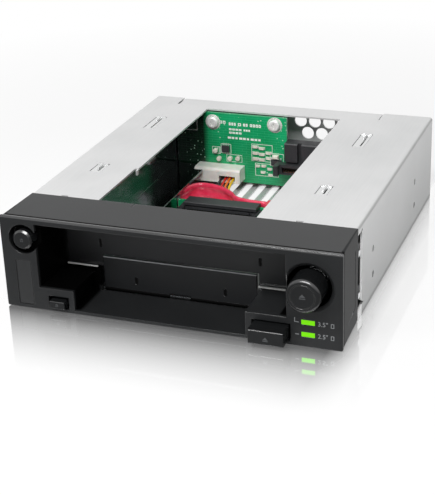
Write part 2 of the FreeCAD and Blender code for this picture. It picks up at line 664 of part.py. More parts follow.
def release_button():
    face = BEZEL_FRONT - RELEASE_OUT
    cap = block(RELEASE_X - RELEASE_HALF, RELEASE_X + RELEASE_HALF, face, -18.6, RELEASE_Z - 1.7,
                RELEASE_Z + 1.7)
    cap = rounded(cap, 0.4, lambda x, y, z: near(y, face))
    nub_end = PLUNGER_Y - 0.1 - RELEASE_TRAVEL
    nub = bar(1.0, (RELEASE_X, -19, RELEASE_Z + 0.4), (RELEASE_X, nub_end, RELEASE_Z + 0.4))
    return fused([cap, nub])


def front_switches():
    """Two tact switches on the switch board, each in line with its button."""
    switches = []
    for x, z in ((POWER_X, POWER_Z), (RELEASE_X, RELEASE_Z + 0.8)):
        body = block(x - 2.6, x + 2.6, SWITCH_BOARD_Y - 3.4, SWITCH_BOARD_Y, z - 2.6, z + 2.6)
        plunger = bar(1.0, (x, PLUNGER_Y, z), (x, SWITCH_BOARD_Y - 3.0, z))
        switches.append(fused([body, plunger]))
    return Part.makeCompound(switches)


def switch_board():
    """Upright board behind the left part of the bezel."""
    outline = [(-70.5, 3), (-45.0, 3), (-45.0, 8.4), (-60.6, 8.4), (-60.6, 38.5), (-70.5, 38.5)]
    return along_y(outline, SWITCH_BOARD_Y, SWITCH_BOARD_Y + BOARD_T)


def led_guide(z):
    light = block(57.35, 62.85, BEZEL_FRONT + 0.05, -24.6, z - 1.0, z + 1.0)
    stem = block(58.6, 61.6, -24.8, -15.2, z - 0.9, z + 0.9)
    return fused([light, stem])


def led_board():
    return block(55.5, 70.5, -13.4, -13.4 + BOARD_T, 2.4, 14.2)


def leds():
    lamps = []
    for z in (10.9, 5.5):
        lamps.append(block(59.1, 61.1, -14.9, -13.4, z - 0.7, z + 0.7))
    return Part.makeCompound(lamps)


# --- Boards, sockets and internal leads ---------------------------------------------------
BOARD_L = -56.0
BOARD_R = 3.2
BOARD_LOW = 4.0
BOARD_TOP = 40.2
BOARD_STEP = 16.0
SCREWS = [(-36.0, 35.2), (-3.0, 36.2), (36.0, 9.5)]


def rear_board():
    """Main board: stands across the rear of the upper bay, with a lower arm to the right."""
    outline = [(BOARD_L, BOARD_LOW), (41.0, BOARD_LOW), (41.0, BOARD_STEP), (BOARD_R, BOARD_STEP),
               (BOARD_R, BOARD_TOP), (BOARD_L, BOARD_TOP)]
    board = along_y(outline, REAR_BOARD_Y, REAR_BOARD_Y + BOARD_T)
    cuts = [bar(1.7, (x, REAR_BOARD_Y - 1, z), (x, REAR_BOARD_Y + 3, z)) for x, z in SCREWS]
    return without(board, cuts)


def board_standoffs():
    posts = []
    for x, z in SCREWS:
        post = Part.makeCylinder(2.6, PANEL_Y - REAR_BOARD_Y - BOARD_T,
                                 V(x, REAR_BOARD_Y + BOARD_T, z), V(0, 1, 0))
        posts.append(post)
    return Part.makeCompound(posts)


def board_screws():
    screws = []
    for x, z in SCREWS:
        head = bar(2.9, (x, REAR_BOARD_Y - 1.7, z), (x, REAR_BOARD_Y, z))
        head = rounded(head, 0.8, lambda px, py, pz: near(py, REAR_BOARD_Y - 1.7))
        shank = bar(1.6, (x, REAR_BOARD_Y - 0.1, z), (x, REAR_BOARD_Y + BOARD_T, z))
        cross = [block(x - 1.5, x + 1.5, REAR_BOARD_Y - 3, REAR_BOARD_Y - 1.0, z - 0.3, z + 0.3),
                 block(x - 0.3, x + 0.3, REAR_BOARD_Y - 3, REAR_BOARD_Y - 1.0, z - 1.5, z + 1.5)]
        screws.append(without(fused([head, shank]), cross))
    return Part.makeCompound(screws)


def drive_socket(x, z, y_back, depth):
    """Combined power and data socket: housing with two end posts and an L-keyed slot."""
    half = 20.0
    pieces = [block(x - half, x + half, y_back - depth, y_back, z - 2.6, z + 2.6)]
    for side in (-1, 1):
        x0, x1 = sorted((x + side * half, x + side * (half - 2.4)))
        pieces.append(block(x0, x1, y_back - depth - 3, y_back, z - 2.6, z + 2.6))
    housing = fused(pieces)
    power = block(x - 16.4, x + 4.6, y_back - depth - 1, y_back - 1.6, z - 0.9, z + 1.1)
    data = block(x + 6.6, x + 16.4, y_back - depth - 1, y_back - 1.6, z - 0.9, z + 1.1)
    keys = [block(x - 16.4, x - 15.2, y_back - depth - 1, y_back - 1.6, z - 2.0, z),
            block(x + 6.6, x + 7.8, y_back - depth - 1, y_back - 1.6, z - 2.0, z)]
    return without(housing, [power, data] + keys)


HOOD_LOW = 9.4
HOOD_TOP = 11.2
SOCKET25_X = -15.9
SOCKET25_Z = 6.2


def hooded_socket():
    """Socket of the 2.5 inch bay: its hood reaches over the board's upper edge."""
    x0, x1 = SOCKET25_X - 18.0, SOCKET25_X + 19.0
    hood = block(x0, x1, BACKPLANE_Y - 5.6, BACKPLANE_Y + BOARD_T + 0.6, HOOD_LOW + 0.1, HOOD_TOP)
    hood = rounded(hood, 0.5, lambda x, y, z: near(z, HOOD_TOP))
    web = block(x0, x1, BACKPLANE_Y - 2.4, BACKPLANE_Y - 0.4, SOCKET25_Z + 2.4, HOOD_LOW + 0.3)
    lip = block(SOCKET25_X - 13.5, SOCKET25_X + 15.7, BACKPLANE_Y - 6.4, BACKPLANE_Y - 4.6,
                SOCKET25_Z + 1.7, SOCKET25_Z + 2.6)
    return fused([drive_socket(SOCKET25_X, SOCKET25_Z, BACKPLANE_Y, 5.0), hood, web, lip])


SOCKET35_X = 19.0
SOCKET35_Z = 15.7
TOWER_BACK = REAR_BOARD_Y - 3.2
TOWER_TOP = 29.0


def socket_tower():
    """Raised carrier above the board's lower arm, with two ribs, that holds the 3.5 inch socket."""
    pieces = [block(3.6, 41.0, TOWER_BACK, REAR_BOARD_Y + BOARD_T, BOARD_STEP + 0.1, TOWER_TOP),
              block(3.6, 41.0, TOWER_BACK, REAR_BOARD_Y, SOCKET35_Z - 2.8, BOARD_STEP + 0.3)]
    for x0, x1 in ((3.6, 10.3), (12.4, 41.0)):
        rib = block(x0, x1, TOWER_BACK - 2.2, TOWER_BACK + 0.5, SOCKET35_Z + 3.7, TOWER_TOP)
        pieces.append(bevelled(rib, 0.5, lambda x, y, z: near(z, TOWER_TOP)
                               and near(y, TOWER_BACK - 2.2)))
    return fused(pieces)


def backplane():
    """Small board behind the 2.5 inch bay, seated in the floor."""
    return block(-39.0, 25.0, BACKPLANE_Y, BACKPLANE_Y + BOARD_T, 0.85, HOOD_LOW)


def rear_port(x, half, z):
    """Port at the rear of the main board that shows through the rear panel."""
    y0 = REAR_BOARD_Y + BOARD_T
    outer = block(x - half, x + half, y0, CASE_L + 0.6, z - 4.2, z + 4.2)
    inner = block(x - half + 1.2, x + half - 1.2, y0 + 6, CASE_L + 2, z - 3.0, z + 3.0)
    tongue = block(x - half + 2.6, x + half - 2.6, y0 + 5, CASE_L - 0.6, z - 0.6, z + 0.6)
    key = block(x - half + 2.6, x - half + 3.8, y0 + 5, CASE_L - 0.6, z - 2.0, z + 0.6)
    return fused([outer.cut(inner), tongue, key])


LEAD_PITCH = 2.1
LEAD_FIRST = -23.3
LEAD_LAST = LEAD_FIRST - 3 * LEAD_PITCH


def power_header():
    """White four-way header on the front of the main board."""
    top = 13.2
    body = block(HEADER_L, HEADER_R, HEADER_FRONT, REAR_BOARD_Y, 6.0, top)
    body = rounded(body, 1.6, lambda x, y, z: near(z, top) and y < REAR_BOARD_Y - 1)
    mouth = block(LEAD_LAST - 1.2, LEAD_FIRST + 1.2, HEADER_FRONT - 1, REAR_BOARD_Y - 3, 7.0, 9.6)
    return body.cut(mouth)


def power_leads():
    """Four short leads from the header to the plug on the 2.5 inch backplane."""
    leads = []
    for index in range(4):
        x = LEAD_FIRST - index * LEAD_PITCH
        leads.append(tube_route([(x, REAR_BOARD_Y - 3.0, 8.0), (x, 113.6, 8.0), (x, 107.0, 1.5),
                                 (x, 98.8, 1.5), (x, 94.6, 6.0), (x, 90.4, 6.0)], 0.62))
    return leads


def power_plug():
    return block(LEAD_LAST - 2.8, LEAD_FIRST + 2.8, BACKPLANE_Y + BOARD_T, 90.4, 3.6, 8.2)


RIBBON_T = 1.9
RIBBON_H = 8.0
RIBBON_Z = 2.7


def data_lead():
    """Flat lead on edge: leaves the backplane's port, arches to the rear, comes forward again
    through the cut-out of the left rail and turns back to the main board's port."""
    plan = [(5.0, 87.6), (-10.5, 87.6), (-16.5, 97.0), (-28.0, 103.6), (-38.5, 103.0),
            (-41.0, 88.5), (-52.5, 91.0), (-52.5, 112.5)]
    corners = [V(x, y, 0) for x, y in plan]
    edges = []
    here = corners[0]
    for before, corner, after in zip(corners, corners[1:], corners[2:]):
        back = before - corner
        ahead = after - corner
        turn = math.pi - back.getAngle(ahead)
        setback = 0.45 * min(back.Length, ahead.Length)
        bend = setback / math.tan(turn / 2)
        back.normalize()
        ahead.normalize()
        inward = back + ahead
        inward.normalize()
        enter = corner + back * setback
        leave = corner + ahead * setback
        middle = corner + inward * (bend / math.cos(turn / 2) - bend)
        edges.append(Part.LineSegment(here, enter).toShape())
        edges.append(Part.Arc(enter, middle, leave).toShape())
        print("ribbon radius %.1f" % bend)
        here = leave
    edges.append(Part.LineSegment(here, corners[-1]).toShape())
    path = Part.Wire(edges)
    start = corners[0]
    across = corners[1] - corners[0]
    across.normalize()
    side = V(-across.y, across.x, 0) * (RIBBON_T / 2)
    low = V(0, 0, RIBBON_Z)
    high = V(0, 0, RIBBON_Z + RIBBON_H)
    section = Part.makePolygon([start + side + low, start - side + low, start - side + high,
                                start + side + high, start + side + low])
    ribbon = path.makePipeShell([section], True, True)
    print("ribbon length %.1f, volume ratio %.4f"
          % (path.Length, ribbon.Volume / (RIBBON_T * RIBBON_H * path.Length)))
    return ribbon


def data_plugs():
    front = block(5.0, 12.4, BACKPLANE_Y + BOARD_T, 90.0, 2.0, 10.9)
    front = rounded(front, 0.6, lambda x, y, z: near(y, 90.0))
    rear = block(-56.2, -48.8, 112.5, REAR_BOARD_Y, 4.2, 9.8)
    rear = fused([rear, block(-56.2, -48.8, 112.5, 118.0, 2.0, 10.9)])
    return Part.makeCompound([front, rear])


# small parts on the front of the main board: centres in x and z
ROUND_PARTS = [(-34.9, 20.2), (-33.1, 16.0), (-27.1, 16.6), (-22.8, 17.0)]
PAD_COLUMNS = [(-13.4, (24.0, 20.6, 17.6)), (-10.0, (23.4, 20.2, 17.4)), (-6.4, (21.2, 18.4))]
LOW_PARTS = [(-12.4, 13.8), (-9.2, 14.0), (-9.6, 10.6), (-6.0, 12.6), (-5.6, 9.4), (-2.6, 10.2)]


def board_chips():
    """Dark packages on the front of the main board."""
    front = REAR_BOARD_Y
    chips = [block(-31.4, -27.4, front - 1.2, front, 19.8, 23.2),
             block(-4.8, 0.6, front - 1.6, front, 15.2, 18.0)]
    return Part.makeCompound(chips)


def board_small_parts():
    """Pale capacitors and resistors soldered on the main board, and a coil beside them."""
    front = REAR_BOARD_Y
    parts = []
    for x, z in ROUND_PARTS:
        can = bar(1.2, (x, front - 1.8, z), (x, front, z))
        parts.append(bevelled(can, 0.3, lambda px, py, pz: near(py, front - 1.8)))
    for x, heights in PAD_COLUMNS:
        for z in heights:
            parts.append(block(x - 1.1, x + 1.1, front - 0.9, front, z - 0.65, z + 0.65))
    for x, z in LOW_PARTS:
        parts.append(block(x - 0.9, x + 0.9, front - 0.8, front, z - 0.6, z + 0.6))
    coil_body = block(-3.9, -0.9, front - 2.0, front, 18.6, 20.6)
    parts.append(bevelled(coil_body, 0.4, lambda x, y, z: near(y, front - 2.0)))
    return Part.makeCompound(parts)


# --- Build --------------------------------------------------------------------------------
os.makedirs("parts", exist_ok=True)
save("case_shell", case_shell())
save("floor_plate", floor_plate())
save("rear_panel", rear_panel())
save("rear_panel_screws", panel_screws())
save("left_rail", rail(-1))
save("right_rail", rail(1))
save("bezel", bezel())
save("case_clips", case_clips())
save("blank_insert", blank_insert())
save("upper_door", upper_door())
save("lower_door", lower_door())
save("upper_door_pin", bar(PIN_R, (RAIL35_L - 1.2, DOOR35_PIN_Y, DOOR35_PIN_Z),
                           (RAIL35_R + 1.2, DOOR35_PIN_Y, DOOR35_PIN_Z)))
save("lower_door_pin", bar(PIN_R, (RAIL25_L - 1.3, DOOR25_PIN_Y, DOOR25_PIN_Z),
                           (RAIL25_R + 1.3, DOOR25_PIN_Y, DOOR25_PIN_Z)))
save("upper_door_springs", upper_door_springs())
save("lower_door_spring", lower_door_spring())
save("eject_knob", eject_knob())
save("eject_bar_35", eject_bar_35())
save("eject_spring_35", eject_spring_35())
save("eject_lever_35", lever(PIVOT35, (KNOB_X, PIN35_Y), (43.0, 122.2), 15.0, 17.6))
save("pivot_post_35", pivot_post(PIVOT35, 15.0, 17.6))
save("eject_key", eject_key())
save("eject_springs_25", eject_springs_25())
save("eject_bar_25", eject_bar_25())
save("eject_lever_25", lever(PIVOT25, (KEY_X, PIN25_Y), (28.6, 81.6), 5.0, 7.6))
save("pivot_post_25", pivot_post(PIVOT25, 5.0, 7.6))
save("power_button", power_button())
save("release_button", release_button())
save("front_switches", front_switches())
save("switch_board", switch_board())
save("led_guide_35", led_guide(10.9))
save("led_guide_25", led_guide(5.5))
save("led_board", led_board())
save("leds", leds())
save("rear_board", rear_board())
save("board_standoffs", board_standoffs())
save("board_screws", board_screws())
save("board_chips", board_chips())
save("board_small_parts", board_small_parts())
save("socket_tower", socket_tower())
save("drive_socket_35", drive_socket(SOCKET35_X, SOCKET35_Z, TOWER_BACK, 4.0))
save("backplane_25", backplane())
save("drive_socket_25", hooded_socket())
save("rear_data_port_a", rear_port(DATA_X[0], 7.4, 26.0))
save("rear_data_port_b", rear_port(DATA_X[1], 7.4, 26.0))
save("rear_power_port", rear_port(POWER_SOCKET_X, 12.4, 26.0))
save("power_header", power_header())
save("power_leads", Part.makeCompound(power_leads()))
save("power_plug", power_plug())
save("data_lead", data_lead())
save("data_plugs", data_plugs())
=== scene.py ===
import bpy
import bmesh
import math
from mathutils import Matrix, Vector


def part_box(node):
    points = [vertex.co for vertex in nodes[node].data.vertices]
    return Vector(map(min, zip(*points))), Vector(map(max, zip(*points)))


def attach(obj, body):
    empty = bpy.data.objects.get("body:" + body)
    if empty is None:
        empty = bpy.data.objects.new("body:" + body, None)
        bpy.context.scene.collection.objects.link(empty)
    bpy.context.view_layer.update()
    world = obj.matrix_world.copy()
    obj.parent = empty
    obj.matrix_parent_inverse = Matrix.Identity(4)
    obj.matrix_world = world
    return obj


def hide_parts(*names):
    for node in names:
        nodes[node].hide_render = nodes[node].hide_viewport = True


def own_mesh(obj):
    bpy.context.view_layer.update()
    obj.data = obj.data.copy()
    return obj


# Looks of the hot swap drive cage, in metres and in the frame of the CAD part: +X right, +Y to
# the rear, +Z up, with the origin at the centre of the four bottom screw holes.
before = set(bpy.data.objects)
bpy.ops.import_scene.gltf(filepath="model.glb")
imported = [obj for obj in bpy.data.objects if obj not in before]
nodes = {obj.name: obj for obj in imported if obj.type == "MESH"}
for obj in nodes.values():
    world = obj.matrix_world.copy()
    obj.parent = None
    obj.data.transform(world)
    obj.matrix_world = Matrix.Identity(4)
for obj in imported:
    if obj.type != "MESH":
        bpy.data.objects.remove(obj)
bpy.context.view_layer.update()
scene = bpy.context.scene
scene.view_settings.view_transform = "Standard"
MM = 0.001

# --- Camera -------------------------------------------------------------------------------
# A long lens, to the right of the cage's centre line and above it. It looks down by 24 degrees
# and is rolled by two.
lens = bpy.data.cameras.new("camera")
lens.sensor_width = 36
lens.lens = 95.86
lens.clip_start = 0.02
lens.clip_end = 20
camera = bpy.data.objects.new("camera", lens)
scene.collection.objects.link(camera)
camera.matrix_world = (Matrix.Translation((0.19458, -0.5334, 0.25172))
                       @ Matrix.Rotation(math.radians(21.225), 4, "Z")
                       @ Matrix.Rotation(math.radians(90 - 24.208), 4, "X")
                       @ Matrix.Rotation(math.radians(-2.248), 4, "Z"))
scene.camera = camera

# --- Flat data lead -----------------------------------------------------------------------
# Red PVC lead of about 90 mm, 8 mm wide, laid on edge. It leaves the port of the lower bay's
# board, arches to the rear, comes forward through the left rail and turns back to the main
# board. Two ribbed edges hold the signal pairs, with a thin web between them.
LEAD_WIDE = 8.0
LEAD_THICK = 1.9
LEAD_LOW = 2.7
LEAD_STEPS = 16
# middle and half width of a rib as shares of the half width, and the web's share of thickness
RIB_AT = 0.62
RIB_HALF = 0.38
WEB_SHARE = 0.62
LEAD_PLAN = [(5.0, 22.975), (-10.5, 22.975), (-16.5, 32.375), (-28.0, 38.975), (-38.5, 38.375),
             (-41.0, 23.875), (-52.5, 26.375), (-52.5, 47.875)]


def smooth_route(name, points):
    """NURBS curve of order 3 with the route's points, in millimetres, as control points."""
    line = bpy.data.curves.new(name, "CURVE")
    line.dimensions = "3D"
    spline = line.splines.new("NURBS")
    spline.points.add(len(points) - 1)
    for point, spot in zip(spline.points, points):
        point.co = (spot[0] * MM, spot[1] * MM, spot[2] * MM, 1)
        point.radius = MM
    spline.order_u = 3
    spline.use_endpoint_u = True
    spline.resolution_u = 14
    return line


def walk(points):
    """Spots along the smooth route, at least 0.05 mm apart."""
    guide = bpy.data.objects.new("route", smooth_route("route", points))
    spots = []
    for vertex in bpy.data.meshes.new_from_object(guide).vertices:
        if not spots or (vertex.co - spots[-1]).length > 0.05 * MM:
            spots.append(vertex.co.copy())
    bpy.data.objects.remove(guide)
    return spots


def put(name, data, body):
    """New object that rides on a body."""
    thing = bpy.data.objects.new(name, data)
    scene.collection.objects.link(thing)
    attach(thing, body)
    return thing


def finish_mesh(name, mesh, body, material):
    """The built mesh becomes a piece with outward faces."""
    bmesh.ops.recalc_face_normals(mesh, faces=mesh.faces)
    data = bpy.data.meshes.new(name)
    mesh.to_mesh(data)
    mesh.free()
    data.materials.append(material)
    return put(name, data, body)


def bridge(mesh, first, second, smooth=False):
    """Faces between two closed loops with as many points."""
    for a, b, c, d in zip(first, first[1:] + first[:1], second[1:] + second[:1], second):
        mesh.faces.new((a, b, c, d)).smooth = smooth


def rgb(text):
    """sRGB hex to the linear colour that Blender's sockets take."""
    parts = [int(text[i:i + 2], 16) / 255 for i in (0, 2, 4)]
    return [c / 12.92 if c <= 0.04045 else ((c + 0.055) / 1.055) ** 2.4 for c in parts] + [1]


def add(tree, kind, modes=None, **sockets):
    """New shader node. A socket's name or number takes a value, or the output to link."""
    made = tree.nodes.new("ShaderNode" + kind)
    for name, value in (modes or {}).items():
        setattr(made, name, value)
    for name, value in sockets.items():
        key = int(name[1:]) if name[1:].isdigit() else name.replace("_", " ")
        if isinstance(value, bpy.types.NodeSocket):
            tree.links.new(value, made.inputs[key])
        else:
            made.inputs[key].default_value = value
    return made


def opened(material):
    """A material's tree, its Principled shader and the object coordinates."""
    tree = material.node_tree
    return tree, tree.nodes["Principled BSDF"], add(tree, "TexCoord").outputs["Object"]


def surface(name, **sockets):
    """New material, with its tree, its Principled shader and the object coordinates."""
    made = bpy.data.materials.new(name)
    made.use_nodes = True
    tree, skin, place = opened(made)
    for socket, value in sockets.items():
        skin.inputs[socket.replace("_", " ")].default_value = value
    return made, tree, skin, place


def every(mm):
    """Scale of a pattern that has one feature in so many millimetres."""
    return 1 / (mm * MM)


def shades(tree, pattern, dark, light):
    """Colour that runs from dark to light over the middle of a pattern."""
    spread = add(tree, "MapRange", Value=pattern, From_Min=0.3, From_Max=0.7)
    return add(tree, "Mix", {"data_type": "RGBA"}, _0=spread.outputs["Result"], _6=rgb(dark),
               _7=rgb(light)).outputs[2]


def wear_in(tree, skin, colour, rough, bump=None):
    """Links the patterns of colour, roughness and height to the shader."""
    tree.links.new(colour, skin.inputs["Base Color"])
    tree.links.new(rough, skin.inputs["Roughness"])
    if bump:
        tree.links.new(bump, skin.inputs["Normal"])


def grained(name, grain_mm, dark, light, smooth, dull, detail=2.0, dent=None, **sockets):
    """Material with one grain in its colour and its roughness, from smooth to dull. The grain
    has its real size, or is as coarse as it has to be to show. A dent gives it height too, by
    its strength and its depth in millimetres."""
    made, tree, skin, place = surface(name, **sockets)
    grain = add(tree, "TexNoise", Vector=place, Scale=every(grain_mm), Detail=detail)
    grain = grain.outputs["Fac"]
    rough = add(tree, "MapRange", Value=grain, To_Min=smooth, To_Max=dull)
    bump = None
    if dent:
        strength, depth_mm = dent
        bump = add(tree, "Bump", Height=grain, Strength=strength, Distance=depth_mm * MM)
        bump = bump.outputs["Normal"]
    wear_in(tree, skin, shades(tree, grain, dark, light), rough.outputs["Result"], bump)
    return made


# Extruded soft PVC: saturated red with a wet gloss, and a faint wave from the extruder every
# 3 mm along the lead.
pvc = grained("extruded red PVC", 3.03, "EE3558", "FB4C6E", 0.14, 0.22, dent=(0.06, 0.1),
              IOR=1.53, Coat_Weight=0.5, Coat_Roughness=0.2)

# half section of the flat lead: height along the width, thickness across it
lead_side = []
for step in range(LEAD_STEPS + 1):
    along = 2 * step / LEAD_STEPS - 1
    rib = max(math.cos((abs(along) - RIB_AT) * math.pi / (2 * RIB_HALF)), 0)
    # both edges are rounded off over the last twentieth, to about half the thickness
    rounding = min(1, 9 * (1.06 - abs(along)))
    lead_side.append((along * LEAD_WIDE / 2,
                      (WEB_SHARE + (1 - WEB_SHARE) * rib) * rounding * LEAD_THICK / 2))
lead_spots = walk([(x, y, LEAD_LOW + LEAD_WIDE / 2) for x, y in LEAD_PLAN])
lead_mesh = bmesh.new()
rings = []
for index, spot in enumerate(lead_spots):
    before = lead_spots[max(index - 1, 0)]
    after = lead_spots[min(index + 1, len(lead_spots) - 1)]
    ahead = (after - before).normalized()
    across = Vector((-ahead.y, ahead.x, 0)).normalized()
    ring = []
    for sign, side in ((1, lead_side), (-1, reversed(lead_side))):
        for height, half in side:
            ring.append(lead_mesh.verts.new(spot + across * (sign * half * MM)
                                            + Vector((0, 0, height * MM))))
    rings.append(ring)
for first, second in zip(rings, rings[1:]):
    bridge(lead_mesh, first, second, smooth=True)
lead_mesh.faces.new(rings[0])
lead_mesh.faces.new(list(reversed(rings[-1])))
flat_lead = finish_mesh("flat_data_lead", lead_mesh, "cage", pvc)
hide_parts("data_lead")


def dress(names, material):
    """Every named CAD node takes the material in all its slots."""
    for name in names:
        slots = nodes[name].material_slots
        for slot in slots:
            slot.material = material
        if not slots:
            nodes[name].data.materials.append(material)


dress(["data_plugs"], pvc)

# --- Four power leads ---------------------------------------------------------------------
# Stranded copper wires in PVC of 1.24 mm, each about 35 mm long, in black, red, orange and
# yellow. They run straight out of the white header, dive under the flat lead and rise into the
# plug behind the lower bay.
WIRE_THICK = 1.24
WIRE_PITCH = 2.1
FIRST_WIRE_X = -23.3
WIRE_DIVE = ((57.775, 8.0), (48.975, 8.0), (42.375, 1.5), (34.175, 1.5), (29.975, 6.0),
             (25.775, 6.0))
for number, (colour, dark, light) in enumerate((("yellow", "D9A90E", "F3CF2C"),
                                                ("orange", "D9601A", "F28636"),
                                                ("red", "B3201C", "DB3A30"),
                                                ("black", "161616", "262626"))):
    route = [(FIRST_WIRE_X - number * WIRE_PITCH, y, z) for y, z in WIRE_DIVE]
    line = smooth_route("power_lead_" + colour, route)
    # the points have a radius of one millimetre, so this is in millimetres
    line.bevel_depth = WIRE_THICK / 2
    line.bevel_resolution = 4
    line.use_fill_caps = True
    # a thin satin sleeve with the strands just felt through it, drawn twice as coarse as they lie
    line.materials.append(grained(colour + " PVC sleeve", 0.833, dark, light, 0.26, 0.42,
                                  dent=(0.15, 0.05), IOR=1.53))
    wire = put("power_lead_" + colour, line, "cage")
    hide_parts("power_leads")
    along = walk(route)
    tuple(along[0])
    sum((b - a).length for a, b in zip(along, along[1:]))

# --- Studio -------------------------------------------------------------------------------
# White glossy paper under the cage, which mirrors the bezel close to its foot and keeps its
# shadow, in an even white room. A wide softbox hangs in front and above, with a low fill.
# half the paper's width, in metres
FLOOR_HALF = 4
floor_mesh = bpy.data.meshes.new("floor")
floor_mesh.from_pydata([(-FLOOR_HALF, -FLOOR_HALF, 0), (FLOOR_HALF, -FLOOR_HALF, 0),
                        (FLOOR_HALF, FLOOR_HALF, 0), (-FLOOR_HALF, FLOOR_HALF, 0)], [],
                       [(0, 1, 2, 3)])
floor = bpy.data.objects.new("floor", floor_mesh)
floor.location.z = -0.3 * MM
scene.collection.objects.link(floor)


def beheld(tree):
    """1 for the rays of the eye, of mirrors and of glass, and 0 for those that carry light."""
    path = add(tree, "LightPath").outputs
    either = add(tree, "Math", {"operation": "MAXIMUM"}, _0=path["Is Camera Ray"],
                 _1=path["Is Glossy Ray"])
    return add(tree, "Math", {"operation": "MAXIMUM"}, _0=either.outputs[0],
               _1=path["Is Transmission Ray"]).outputs[0]


def zone(tree, place, most=1.0, **limits):
    """Mask of one part of a piece. Each limit names an axis, or side for the distance from the
    middle plane, with the millimetres at which the mask starts and at which it is full."""
    split = add(tree, "SeparateXYZ", Vector=place)
    mask = most
    for axis, (start, full) in limits.items():
        if axis == "side":
            spot = add(tree, "Math", {"operation": "ABSOLUTE"}, _0=split.outputs["X"]).outputs[0]
        else:
            spot = split.outputs[axis.upper()]
        step = add(tree, "MapRange", Value=spot, From_Min=min(start, full) * MM,
                   From_Max=max(start, full) * MM, To_Min=float(start > full),
                   To_Max=float(start < full))
        mask = add(tree, "Math", {"operation": "MULTIPLY"}, _0=step.outputs["Result"],
                   _1=mask).outputs[0]
    return mask


def zones(tree, place, *parts):
    """The strongest of several masks, each given by its limits."""
    mask = 0.0
    for limits in parts:
        mask = add(tree, "Math", {"operation": "MAXIMUM"}, _0=mask,
                   _1=zone(tree, place, **limits)).outputs[0]
    return mask


paper, tree, skin, place = surface("white glossy paper")
tree.nodes.remove(skin)
# further from the cage the paper is evenly white by itself
far = add(tree, "VectorMath", {"operation": "LENGTH"}, _0=place)
own = add(tree, "MapRange", Value=far.outputs["Value"], From_Min=200 * MM, From_Max=420 * MM,
          To_Min=0.72, To_Max=1.0)
share = add(tree, "Math", {"operation": "MULTIPLY"}, _0=beheld(tree), _1=own.outputs["Result"])
matt = add(tree, "BsdfDiffuse", Color=rgb("FFFFFF"))
glow = add(tree, "Emission", Color=rgb("FFFFFF"), Strength=1.0)
sheet = add(tree, "MixShader", _0=share.outputs[0], _1=matt.outputs[0], _2=glow.outputs[0])
# the mirror image is strongest at the bezel's foot, is gone 55 mm in front of it and stays
# faint beside the case
near = add(tree, "Math", {"operation": "POWER"}, _0=zone(tree, place, y=(-147, -94)), _1=1.9)
level = add(tree, "MapRange", Value=zone(tree, place, x=(68, 82)), To_Min=0.87, To_Max=0.14)
mirror = add(tree, "Math", {"operation": "MULTIPLY"}, _0=near.outputs[0],
             _1=level.outputs["Result"])
# plain paper shows through the floor slots, behind the bezel
mirror = add(tree, "Math", {"operation": "MULTIPLY"}, _0=mirror.outputs[0],
             _1=zones(tree, place, dict(y=(-86, -88)), dict(x=(70, 72))))
gloss = add(tree, "BsdfGlossy", Color=rgb("FFFFFF"), Roughness=0.05)
coated = add(tree, "MixShader", _0=mirror.outputs[0], _1=sheet.outputs[0], _2=gloss.outputs[0])
tree.links.new(coated.outputs[0], tree.nodes["Material Output"].inputs["Surface"])
floor_mesh.materials.append(paper)

world = bpy.data.worlds.new("studio")
scene.world = world
world.use_nodes = True
sky = world.node_tree
room = sky.nodes["Background"]
room.inputs["Color"].default_value = rgb("FFFFFF")
level = add(sky, "MapRange", Value=beheld(sky), To_Min=0.2, To_Max=1.0)
sky.links.new(level.outputs["Result"], room.inputs["Strength"])

# a wide softbox in front and above, and a low fill that no surface mirrors
for name, spot, aim, wide, tall, power, mirrored in (
        ("key in front and above", (0.06, -0.8, 1.0), (0, 0, 0), 0.9, 0.3, 14.0, True),
        ("fill low at the left", (-0.85, -1.0, 0.55), (0, 0, 0.02), 0.5, 0.5, 6.0, False)):
    light = bpy.data.lights.new(name, "AREA")
    light.shape = "RECTANGLE"
    light.size = wide
    light.size_y = tall
    light.energy = power
    lamp = bpy.data.objects.new(name, light)
    lamp.location = spot
    lamp.rotation_euler = (Vector(aim) - Vector(spot)).to_track_quat("-Z", "Y").to_euler()
    lamp.visible_glossy = mirrored
    scene.collection.objects.link(lamp)

# --- Sheet-metal case ---------------------------------------------------------------------
# Top and sides, floor and rear wall are cut and bent from 0.8 mm electro-galvanised steel. It
# is left bare, so the zinc's cloudy satin tone and the grain from the rolling mill show.


def where(tree, skin, mask, **sockets):
    """Where the mask holds, the shader's sockets turn to these colours or numbers."""
    for name, value in sockets.items():
        socket = skin.inputs[name.replace("_", " ")]
        had = socket.links[0].from_socket if socket.is_linked else socket.default_value
        if socket.type == "RGBA":
            mixed = add(tree, "Mix", {"data_type": "RGBA"}, _0=mask, _6=had, _7=value).outputs[2]
        else:
            mixed = add(tree, "Mix", {"data_type": "FLOAT"}, _0=mask, _2=had,
                        _3=value).outputs[0]
        tree.links.new(mixed, socket)


zinc, tree, skin, place = surface("rolled galvanised steel", Metallic=0.4)
clouds = add(tree, "TexNoise", Vector=place, Scale=every(45.5), Detail=3.0, Roughness=0.55)
# rolling grain: 0.4 mm lines that run the depth of the case, drawn wide enough to show
stretch = add(tree, "Mapping", Vector=place, Scale=(every(0.4), every(16.7), every(0.4)))
grain = add(tree, "TexNoise", Vector=stretch.outputs[0], Scale=1.0, Detail=2.0)
cloudy = add(tree, "Mix", {"data_type": "FLOAT"}, _0=0.3, _2=clouds.outputs["Fac"],
             _3=grain.outputs["Fac"])
rough = add(tree, "MapRange", Value=grain.outputs["Fac"], To_Min=0.34, To_Max=0.46)
fine = add(tree, "Bump", Height=grain.outputs["Fac"], Strength=0.08, Distance=0.04 * MM)
wear_in(tree, skin, shades(tree, cloudy.outputs[0], "D2D3D3", "E2E2E2"), rough.outputs["Result"],
        fine.outputs["Normal"])
